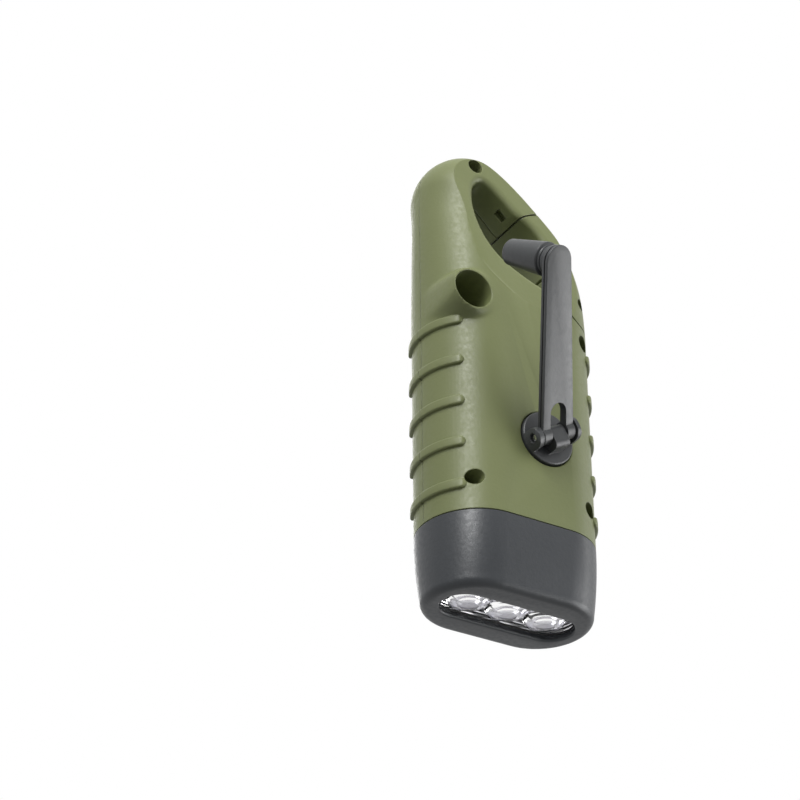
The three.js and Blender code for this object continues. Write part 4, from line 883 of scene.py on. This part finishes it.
def dome_profile():
    points = [(0.01, LENS_FOOT - 1.5)]
    for radius in np.linspace(0.4, 3.3, 8):
        points.append((radius, LENS_FOOT - 0.75 - 0.75 * math.sqrt(max(1 - (radius / 3.75) ** 2, 0))))
    for radius in np.linspace(3.5, 6.0, 9):
        points.append((radius, LENS_FOOT - 1.12 * math.sqrt(max(1 - ((radius - 3.5) / 2.5) ** 2, 0)) - 0.02))
    return [*points, (6.0, LENS_FOOT + 0.5), (0.01, LENS_FOOT + 0.5)]


def cup_profile():
    wall = [(5.8 - 2.75 * t ** 1.8, 4.2 + 7.6 * t) for t in np.linspace(0, 1, 15)]
    lip = [(0.01, 2), (6.0, 2), (6.0, 4.3), (5.95, 4.42), (5.8, 4.45)]
    return [*lip, *wall[1:], (3.0, LAMP_SEAT + 1), (0.01, LAMP_SEAT + 1)]


window = prism("z", slot_outline(0.5), LENS_FOOT, LENS_FOOT + LENS_THICK)
join(window, *[turned("z", dome_profile(), place, 72) for place in LAMPS])
cups = prism("z", slot_outline(0.5), 4.2, 12.8)
cut(cups, *[turned("z", cup_profile(), place, 72) for place in LAMPS])
seal = cut(prism("z", slot_outline(0.5), 1.8, 2.4), prism("z", slot_outline(), 1, 5))
print("lens:", len(window.data.polygons), "faces, cups:", len(cups.data.polygons))

# %% Finishes of the lens, the cups and the seal
acrylic = grained(finish("clear_acrylic", (1, 1, 1), 0.03, Transmission_Weight=1.0, IOR=1.49), 120, 2,
                  rough=(0.01, 0.06))
chrome = grained(finish("metallised_cups", (0.80, 0.80, 0.83), 0.1, 1.0), 300, 2,
                 color=((0.74, 0.74, 0.78), (0.84, 0.83, 0.86)), rough=(0.06, 0.16), height=0.00003)
rubber = grained(finish("black_rubber", (0.02, 0.02, 0.021), 0.72), 700, 2,
                 color=((0.016, 0.016, 0.017), (0.030, 0.030, 0.031)), height=0.00004, edge=0.0001)
dress(window, "lens_plate", acrylic, "clear_lens", "housing", "lens_window", sharp=25)
dress(cups, "lamp_cups", chrome, "chrome_cups", "housing", "reflector", sharp=25)
dress(seal, "lens_seal", rubber, "rubber", "housing", "lens_gasket")

# %% [markdown]
# ## Three lamps in a row
# The lamps are all the same, so one lamp is drawn and a node tree sets it out along a line. Copies made
# in Python would look the same, but in the tree the pitch and the count stay inputs.


# %% Lamps
LAMP_RADIUS, LAMP_LENGTH = 2.5, 8.6


def row_tree(name, sizes, axis="X"):
    tree, given = new_tree(name, sizes)
    return in_a_row(tree, given, given["Geometry"], axis)


def lamp_profile():
    crown = LAMP_SEAT + 1 - LAMP_LENGTH + LAMP_RADIUS
    round_end = [(LAMP_RADIUS * s, crown - LAMP_RADIUS * c) for s, c in quarter(12)]
    flange = [(2.9, LAMP_SEAT), (2.9, LAMP_SEAT + 1), (0.01, LAMP_SEAT + 1)]
    return [*round_end, (LAMP_RADIUS, LAMP_SEAT), *flange]


epoxy = grained(finish("lamp_epoxy", (0.90, 0.88, 0.96), 0.08, IOR=1.5, Transmission_Weight=0.35,
                       Coat_Weight=0.6), 400, 2, color=((0.82, 0.80, 0.92), (0.95, 0.93, 0.99)))
lamp_sizes = {"Count": 3, "Pitch": LAMP_PITCH * MM, "Finish": epoxy}
lamps = run_tree(turned("z", lamp_profile(), LAMPS[0], 40), row_tree("lamp row", lamp_sizes), lamp_sizes)
dress(lamps, "lamps", epoxy, "led_epoxy", "housing", "led_1", "led_2", "led_3")

# %% [markdown]
# ## The solar panel
# The frame stands proud of the flat face: a rounded outer rim, a small step up to a raised band, and
# a slope down to the window with a mitre line in each corner. Its top edge is arched. An inset and an
# extrusion by hand would give the steps, but rings at set insets keep every step the same width.

# %% Frame
PANEL_X, PANEL_HALF, PANEL_FOOT, PANEL_HEIGHT, PANEL_ARCH = 0.4, 16.2, CAP + 7.1, 50.4, 6.4
STEPS = [(0, 14), (0, 16.9), (0.06, 17.3), (0.22, 17.68), (0.48, 17.98), (0.8, 18.14), (1.1, 18.18),
         (1.4, 18.19), (1.5, 18.24), (1.58, 18.36), (1.68, 18.46), (1.85, 18.5)]
SLOPE = [(2.35, 1.2, 22), (2.35, 1.2, 18.5), (2.25, 1.15, 18.45), (2.0, 1.1, 18.2), (0.12, 0.7, 16.9),
         (0, 0.6, 16.75), (0, 0.6, 16)]


def curve_points(a, b, c, steps=10):
    t = np.linspace(0, 1, steps)[:, None]
    a, b, c = (np.asarray(p, float) for p in (a, b, c))
    return (1 - t) ** 2 * a + 2 * t * (1 - t) * b + t ** 2 * c


def frame_ring(inset, out):
    west, east = PANEL_X - PANEL_HALF + inset, PANEL_X + PANEL_HALF - inset
    foot, corner, r = PANEL_FOOT + inset, PANEL_FOOT + PANEL_HEIGHT - inset, 3 - inset / 2
    ring = np.concatenate([
        arc((east - r, foot + r), r, -90, 0, 9)[:-1],
        curve_points((east, corner - r), (east, corner), (east - r, corner)),
        curve_points((east - r, corner), (PANEL_X, corner + PANEL_ARCH), (west + r, corner), 30)[1:-1],
        curve_points((west + r, corner), (west, corner), (west, corner - r)),
        arc((west + r, foot + r), r, 180, 270, 9)[1:]])
    return along("y", ring, -out)


panel = cut(skin([frame_ring(inset, out) for inset, out in STEPS]), pillow(-FIT))
join(panel, prism("y", window_outline(1.9), -17.6, -13.5))
cut(panel, prism("y", window_outline(0.8), -16.5, 0),
    skin([along("y", window_outline(grow, radius), -out) for grow, radius, out in SLOPE]))
dress(keep_largest(panel), "panel_frame", charcoal, "black_abs", "housing", "solar_bezel", sharp=22)

# %% [markdown]
# ## The cell behind its window
# The solar cell is a copper brown film. Thin silver lines cross it and collect the current. They could
# be painted by a wave texture, but as real strips they stay crisp close up. One strip is repeated up
# the cell by the same kind of tree as the lamps. Cell and window keep the CAD's meshes.

# %% Cell, lines and window
glass = grained(finish("panel_window", (1, 1, 1), 0.04, Transmission_Weight=1.0, IOR=1.45), 90, 2,
                rough=(0.03, 0.08))
cell_film = grained(finish("solar_film", (0.36, 0.18, 0.11), 0.32, Coat_Weight=0.3, Coat_Roughness=0.1),
                    1, 3, color=((0.31, 0.150, 0.088), (0.42, 0.225, 0.140)), rough=(0.26, 0.40),
                    stretch=(5200, 100, 60))
silver = grained(finish("silver_ink", (0.62, 0.52, 0.44), 0.35, 0.5), 2500, 1,
                 color=((0.56, 0.46, 0.38), (0.70, 0.60, 0.52)))


def paint(look, *names):
    for name in names:
        for slot in bpy.data.objects[name].material_slots:
            slot.material = look


paint(glass, "solar_window")
paint(cell_film, "solar_cell")
cell_face = (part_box("solar_cell")[0].y - axis_place[1]) / MM
line_sizes = {"Count": 9, "Pitch": 4.35 * MM, "Finish": silver}
strip = block((PANE_X - PANE_WIDTH / 2, PANE_X + PANE_WIDTH / 2), (cell_face - 0.03, cell_face + 0.02),
              (PANE_FOOT + 2.3, PANE_FOOT + 2.44))
lines = run_tree(strip, row_tree("cell lines", line_sizes, "Z"), line_sizes)
dress(lines, "cell_lines", silver, "solar_cells", "housing")
print("cell lines at y", round(cell_face, 2))

# %% [markdown]
# ## The crank's hub
# The hub is a disc in its recess. Two rounded cheeks and a middle lug stand on it and carry the fold
# pin. It is drawn about its own axis with the arm pointing up, then turned into place by a matrix,
# because its faces are square to its own axes and not to the torch's.

# %% Hub
hub_frame = Matrix.Translation((HUB[0] * MM, 0, HUB[1] * MM)) @ Matrix.Rotation(TILT, 4, "Y")
LIFTED = math.radians(38)
arm_frame = hub_frame @ Matrix.Translation((0, 20.5 * MM, 0)) @ Matrix.Rotation(-LIFTED, 4, "X")
HERE = (0, 0, 0)
FOLD_AT, TIP_AT = (0, 20.5, 0), (0, 0, ARM)
PIN_HOLE, ARM_HALF = 1.3, 6.05


def placed(piece, matrix):
    """Moves a mesh that was drawn about the origin to its place on the torch."""
    there = Matrix.Translation(axis_place.tolist())
    piece.data.transform(there @ matrix @ there.inverted())
    return piece


def cheek(reach, *ends):
    side = np.concatenate([[(15, -reach)], arc((20.2, 0), reach, -90, 90, 26), [(15, reach)]])
    return prism("x", side, *ends)


def hub():
    edge = [(7.55 + 0.45 * c, 17.35 + 0.45 * s) for s, c in quarter(7)]
    disc = turned("y", [(0.01, 15), (7.8, 15), (8.0, 15.2), *edge, (0.01, 17.8)], HERE, 96)
    dome = [(7.95, 15.1), (7.95, 21.4), (7.8, 22.6), (7.3, 23.4)]
    cheeks = join(cheek(2.9, ARM_HALF, 18), cheek(3.4, -18, -ARM_HALF))
    keep_inside(cheeks, turned("y", [(0.01, 15.1), *dome, (0.01, 23.8)], HERE, 96))
    knuckle = np.concatenate([
        [(15, -4.6), (20.9, -4.6)], curve_points((20.9, -4.6), (22.4, -4.4), (22.4, -2.6), 8)[1:],
        curve_points((22.4, 0), (22.4, 2), (20.5, 2), 10), [(15, 2)]])
    join(disc, cheeks, prism("x", knuckle, -2.55, 2.55), rod("y", 4.2, 10.75, 17, HERE, 64),
         prism("y", arc((0, 0), 3.4, 90, 390, 7)[:-1], 8.55, 17))
    cut(disc, rod("x", PIN_HOLE, -20, 20, FOLD_AT), rod("y", 1.5, 0, 13.85, HERE))
    return placed(disc, hub_frame)


dress(hub(), "hub_with_cheeks", crank_black, "black_abs", "crank", "crank_hub")

# %% [markdown]
# ## Arm and knob
# The arm is a long bar that narrows towards the knob. A groove runs round its edge, under a flat face
# with a crisp border. At its root it forks round the hub's lug. The knob is a cone that turns on a pin
# and points back at the body. The groove is part of the bar's rings, where a bump would vanish in the
# bar's outline.


# %% Arm
def arm_outline(inset):
    root, tip = 5.75 - inset, 4.5 - inset
    return np.concatenate([[(root, 0)], arc((0, ARM), tip, 0, 180, 29), [(-root, 0)]])


def arm():
    levels = [(0.5, -0.7), (0.2, -0.62), (0.12, -0.45), (0.12, 0.2), (0.6, 0.27), (0.6, 0.62), (0.05, 0.7),
              (0, 0.8), (0, 1.4), (0.06, 1.55), (0.2, 1.62)]
    bar = skin([along("y", arm_outline(inset), level) for inset, level in levels])
    join(bar, turned("x", [(2.35, -5.85), (2.6, -5.6), (2.6, 5.6), (2.35, 5.85)], HERE, 48),
         turned("y", [(3.7, -2.2), (3.9, -2.0), (3.9, 0)], TIP_AT, 64))
    fork = np.concatenate([[(-2.9, -4), (2.9, -4)], arc((0, 5.9), 2.9, 0, 180, 25)])
    cut(bar, prism("y", fork, -4, 4), rod("x", PIN_HOLE, -9, 9, HERE),
        rod("y", PIN_HOLE, -4, 1.2, TIP_AT))
    return placed(keep_largest(bar), arm_frame)


def knob():
    rounded = [(3.1 + 0.6 * math.sin(a), -16.6 - 0.6 * math.cos(a)) for a in np.linspace(0, 1.5, 8)]
    base = [(4.75, -3.5), (4.72, -3.24), (4.56, -3.08), (4.3, -3.0), (4.0, -2.9), (3.9, -2.7), (3.9, -2.3)]
    cone = turned("y", [(0.01, -17.2), *rounded, *base, (0.01, -2.3)], TIP_AT, 72)
    cut(cone, rod("y", PIN_HOLE, -20, 0, TIP_AT), rod("y", 1.7, -20, -16, TIP_AT))
    return placed(cone, arm_frame)


dress(arm(), "folding_arm", crank_black, "black_abs", "arm", "crank_arm")
dress(knob(), "turning_knob", crank_black, "black_abs", "knob", "crank_knob")

# %% [markdown]
# ## Pins and button
# Small turned parts: a pin with softened ends for the fold, the gate's pin, which shows at the front,
# and the rubber button low on the gate side, domed so that a thumb finds it. A Bevel modifier would
# soften a cylinder too, but a short profile costs fewer faces.

# %% Pins and button
steel = grained(finish("bright_steel", (0.62, 0.62, 0.63), 0.25, 1.0), 1, 3, stretch=(900, 900, 900),
                color=((0.56, 0.56, 0.57), (0.68, 0.68, 0.69)), rough=(0.20, 0.34), height=0.00002,
                edge=0.0001)


def pin(axis, radius, start, end, place):
    soft = [(radius - 0.25, 0), (radius - 0.08, 0.07), (radius, 0.25)]
    profile = [(r, start + h) for r, h in soft] + [(r, end - h) for r, h in soft[::-1]]
    return turned(axis, [(0.01, start), *profile, (0.01, end)], place, 40)


fold = placed(pin("x", 1.0, -7.2, 7.2, FOLD_AT), hub_frame)
SUNK_FRONT, SUNK_BACK = 2.8, 5.4
hinge_face = float(face_at(HINGE[1]) * thinness(HINGE[1]))
hinge_pin = pin("y", PIN, SUNK_FRONT - hinge_face, hinge_face - SUNK_BACK, HINGE_AT)
dome = [(3.2 * math.sin(a), -26.9 - 0.7 * math.cos(a)) for a in np.linspace(0.02, HALF_TURN / 2, 12)]
stem = [(3.2, -22.8), (3.9, -22.8), (3.9, -21.9), (1.3, -21.9), (1.3, -20.4), (0.01, -20.4)]
button = turned("x", [*dome, *stem], BUTTON, 64)
bodies = frame["record"]["behaviour"]["bodies"]
fold_body = next(body for body, nodes in bodies.items() if "fold_pin" in nodes)
dress(fold, "pin_of_fold", steel, "steel", fold_body, "fold_pin")
dress(hinge_pin, "pin_of_gate", steel, "steel", "housing", "gate_pin")
dress(button, "thumb_button", rubber, "button_rubber", "button", "power_button")

# %% [markdown]
# ## Screws, set out by a tree
# Four screws sit deep in their wells. The tree makes one with a cross recess, cut by two bars, and
# puts a copy on each point that it is given. An array could not reach four uneven places.

# %% Shell screws
dark_steel = grained(finish("blackened_steel", (0.16, 0.16, 0.165), 0.38, 1.0), 500, 3,
                     color=((0.12, 0.12, 0.125), (0.22, 0.22, 0.225)), height=0.00003, edge=0.0001)
screw_sizes = {"Head": 2.05 * MM, "Height": 1.6 * MM, "Shank": 1.1 * MM, "Length": 13.4 * MM,
               "Recess": 2.4 * MM, "Finish": dark_steel}


def screw_tree():
    tree, given = new_tree("cross screws", screw_sizes)

    def lifted(shape, height):
        lift = node(tree, "ShaderNodeCombineXYZ", Z=height)
        return node(tree, "GeometryNodeTransform", Geometry=shape, Translation=lift)

    def cylinder(steps, radius, depth):
        return node(tree, "GeometryNodeMeshCylinder", Vertices=steps, Radius=radius, Depth=depth)

    half = maths(tree, "MULTIPLY", given["Height"], 0.5)
    down = maths(tree, "MULTIPLY", given["Length"], -0.5)
    head = lifted(cylinder(40, given["Head"], given["Height"]), half)
    shank = lifted(cylinder(24, given["Shank"], given["Length"]), down)
    blade = maths(tree, "MULTIPLY", given["Recess"], 0.26)
    bars = []
    for x, y in ((given["Recess"], blade), (blade, given["Recess"])):
        size = node(tree, "ShaderNodeCombineXYZ", X=x, Y=y, Z=given["Height"])
        bars.append(lifted(node(tree, "GeometryNodeMeshCube", Size=size), given["Height"]))
    cross = node(tree, "GeometryNodeMeshBoolean", {"operation": "DIFFERENCE"}, Mesh_1=head, Mesh_2=bars)
    whole = node(tree, "GeometryNodeJoinGeometry", Geometry=[cross, shank])
    turn = node(tree, "GeometryNodeTransform", Geometry=whole, Rotation=(-HALF_TURN / 2, 0, 0))
    copies = node(tree, "GeometryNodeInstanceOnPoints", Points=given["Geometry"], Instance=turn)
    return end_tree(tree, copies, given["Finish"])


seats = line_object([(x, 5.3, z) for x, z in SCREWS])
screws = run_tree(seats, screw_tree(), screw_sizes)
dress(screws, "shell_screws", dark_steel, "steel", "housing", *[f"shell_screw_{i}" for i in (1, 2, 3, 4)])

# %% [markdown]
# ## The gate's spring
# A torsion spring closes the gate. Its path is a helix with a straight leg at each end, and the tree
# sweeps the wire's round section along it. A Screw modifier would wind the turns but not the legs.

# %% Spring
wire_sizes = {"Wire": 0.7 * MM, "Finish": steel}
TURNS, WIRE_PITCH, SPRING_RADIUS, LEG = 3.5, 1.15, 2.4, 1.6


def wire_tree():
    tree, given = new_tree("wire", wire_sizes)
    path = node(tree, "GeometryNodeMeshToCurve", Mesh=given["Geometry"])
    half = maths(tree, "MULTIPLY", given["Wire"], 0.5)
    circle = node(tree, "GeometryNodeCurvePrimitiveCircle", Resolution=12, Radius=half)
    swept = node(tree, "GeometryNodeCurveToMesh", Curve=path, Profile_Curve=circle, Fill_Caps=True)
    return end_tree(tree, swept, given["Finish"])


def spring_path():
    angles = np.linspace(0, TURNS * 2 * HALF_TURN, int(TURNS * 32) + 1)
    rise = (angles / (2 * HALF_TURN) - TURNS / 2) * WIRE_PITCH
    path = np.stack([HINGE[0] + SPRING_RADIUS * np.cos(angles), rise,
                     HINGE[1] + SPRING_RADIUS * np.sin(angles)], axis=1)
    runs = (path[0] - path[1]) * (1, 0, 1), (path[-1] - path[-2]) * (1, 0, 1)
    legs = [run * LEG / np.linalg.norm(run) for run in runs]
    return np.concatenate([[path[0] + legs[0]], path, [path[-1] + legs[1]]])


spring = run_tree(line_object(spring_path()), wire_tree(), wire_sizes)
dress(spring, "closing_spring", steel, "steel", "housing", "gate_spring")

# %% [markdown]
# ## Finishes for the works
# The works keep the CAD's own meshes: gears, pins, boards, dynamo and cells. They only need finishes
# that say what they are made of. Nobody sees them in the closed torch, but a cutaway would show them.

# %% Finishes inside
nylon = grained(finish("white_nylon", (0.72, 0.70, 0.64), 0.46, Subsurface_Weight=0.15,
                       Subsurface_Scale=0.001), 260, 3,
                color=((0.68, 0.66, 0.60), (0.76, 0.74, 0.68)), height=0.00003, edge=0.00015)
iron = grained(finish("core_plates", (0.30, 0.30, 0.31), 0.42, 1.0), 1, 1, wave=True, stretch=(0, 640, 0),
               color=((0.20, 0.20, 0.21), (0.38, 0.38, 0.39)), span=(0.1, 0.4), height=0.00005)
winding = grained(finish("enamelled_wire", (0.48, 0.19, 0.08), 0.28, 0.85, Coat_Weight=0.6), 1, 1,
                  wave=True, stretch=(0, 0, 800), color=((0.30, 0.10, 0.04), (0.60, 0.26, 0.12)),
                  span=(0.1, 0.8), height=0.00012)
magnet = grained(finish("pressed_ferrite", (0.05, 0.05, 0.055), 0.6, 0.3), 1200, 4,
                 color=((0.035, 0.035, 0.04), (0.08, 0.08, 0.085)), height=0.00006, edge=0.0002)
laminate = grained(finish("green_laminate", (0.03, 0.14, 0.06), 0.34, Coat_Weight=0.4), 700, 2,
                   color=((0.02, 0.11, 0.045), (0.04, 0.17, 0.07)), height=0.00003, edge=0.0001)
switch_black = grained(finish("switch_body", (0.03, 0.03, 0.032), 0.45), 900, 2,
                       color=((0.024, 0.024, 0.026), (0.042, 0.042, 0.045)), height=0.00003, edge=0.0001)
paint(nylon, "crank_bush", "gear_plate", "coil_bobbin", "idler_gear_1", "idler_gear_2", "rotor_pinion",
      "drive_gear")
paint(iron, "stator_core")
paint(winding, "coil_winding")
paint(magnet, "rotor_magnet")
paint(laminate, "main_board", "led_board")
paint(switch_black, "tact_switch")
paint(steel, "idler_pin_1", "idler_pin_2", "rotor_pin", "hub_screw", "knob_pin",
      *[f"{name}_{i}" for name in ("plate_screw", "battery_cell") for i in (1, 2, 3)])
print("works painted")

# %% [markdown]
# ## Floor, lights and world
# The floor is pale and lets the light from below through, because the camera looks up from under it.
# It fades out away from the torch, so no horizon shows. A spine strip gives the long highlight on the
# shoulder and an arm light the sheen on the arm. Both light gloss only. Two keys light the colour
# itself, without a highlight of their own. Single lamps for both jobs could not be balanced apart.

# %% Floor
FLOOR_FADE = (0.12, 0.4)
bpy.ops.mesh.primitive_plane_add(size=6, location=(0, 0, -0.0004))
floor = bpy.context.object
floor.name = "floor"
pale = bpy.data.materials.new("pale_floor")
pale.use_nodes = True
tree = pale.node_tree
ray = node(tree, "ShaderNodeLightPath").outputs
spot = node(tree, "ShaderNodeTexCoord").outputs["Object"]
away = node(tree, "ShaderNodeVectorMath", {"operation": "LENGTH"}, _0=spot).outputs["Value"]
fade = node(tree, "ShaderNodeMapRange", Value=away, From_Min=FLOOR_FADE[0], From_Max=FLOOR_FADE[1])
hidden = maths(tree, "MAXIMUM", node(tree, "ShaderNodeNewGeometry").outputs["Backfacing"], fade)
for kind in ("Is Shadow Ray", "Is Diffuse Ray", "Is Glossy Ray", "Is Transmission Ray"):
    hidden = maths(tree, "MAXIMUM", hidden, ray[kind])
matt = node(tree, "ShaderNodeBsdfDiffuse", Color=(0.82, 0.82, 0.82, 1))
mix = node(tree, "ShaderNodeMixShader", Fac=hidden, _1=matt, _2=node(tree, "ShaderNodeBsdfTransparent"))
tree.links.new(mix.outputs[0], tree.nodes["Material Output"].inputs["Surface"])
floor.data.materials.append(pale)
print("floor laid")


# %% Lights
def softbox(name, direction, distance, size, power, diffuse=True, gloss=True):
    light = bpy.data.lights.new(name, "AREA")
    light.shape, light.size, light.size_y, light.energy = "RECTANGLE", size[0], size[1], power
    lamp = bpy.data.objects.new(name, light)
    aim = Vector((0, 0, 0.07))
    lamp.location = aim + Vector(direction).normalized() * distance
    lamp.rotation_euler = (aim - lamp.location).to_track_quat("-Z", "Y").to_euler()
    lamp.visible_diffuse, lamp.visible_glossy = diffuse, gloss
    collection.objects.link(lamp)


softbox("spine strip", (0.62, 0.58, 0.53), 0.7, (0.22, 0.4), 6.0, diffuse=False)
softbox("gate strip", (-0.95, 0.2, 0.25), 0.7, (0.15, 0.4), 0.5)
softbox("arm light", (-0.86, 0.43, -0.275), 0.7, (0.6, 0.6), 6.2, diffuse=False)
softbox("key", (-0.3, 0.85, 0.45), 0.8, (0.5, 0.5), 3.0, gloss=False)
softbox("top key", (0.6, 0.38, 0.7), 0.8, (0.5, 0.5), 5.4, gloss=False)
softbox("front", (-0.3, -0.8, 0.5), 0.8, (0.5, 0.5), 2.4)
print("softboxes:", len(bpy.data.lights))

# %% [markdown]
# ## A world with two faces
# The camera and every reflection see plain white. Rays that light the colour see a softer sky, dim
# below and brighter above, so the torch is modelled by shade. An image of a studio would add marks.

# %% World
DIM_BELOW, BRIGHT_ABOVE = 0.13, 0.55
world = bpy.data.worlds.new("studio")
bpy.context.scene.world = world
world.use_nodes = True
tree = world.node_tree
ray = node(tree, "ShaderNodeLightPath").outputs
mirrored = maths(tree, "MAXIMUM", ray["Is Glossy Ray"], ray["Is Transmission Ray"])
white = maths(tree, "MAXIMUM", ray["Is Camera Ray"], mirrored)
compass = node(tree, "ShaderNodeTexCoord").outputs["Generated"]
height = node(tree, "ShaderNodeSeparateXYZ", Vector=compass).outputs["Z"]
dim = node(tree, "ShaderNodeMapRange", Value=height, From_Min=-1, From_Max=1, To_Min=DIM_BELOW,
           To_Max=BRIGHT_ABOVE)
shade = node(tree, "ShaderNodeMapRange", Value=white, To_Min=dim, To_Max=1.0)
sky = tree.nodes["Background"]
sky.inputs["Strength"].default_value = 1
tree.links.new(shade.outputs[0], sky.inputs["Color"])
bpy.context.scene.view_settings.view_transform = "Standard"
print("a pale world")
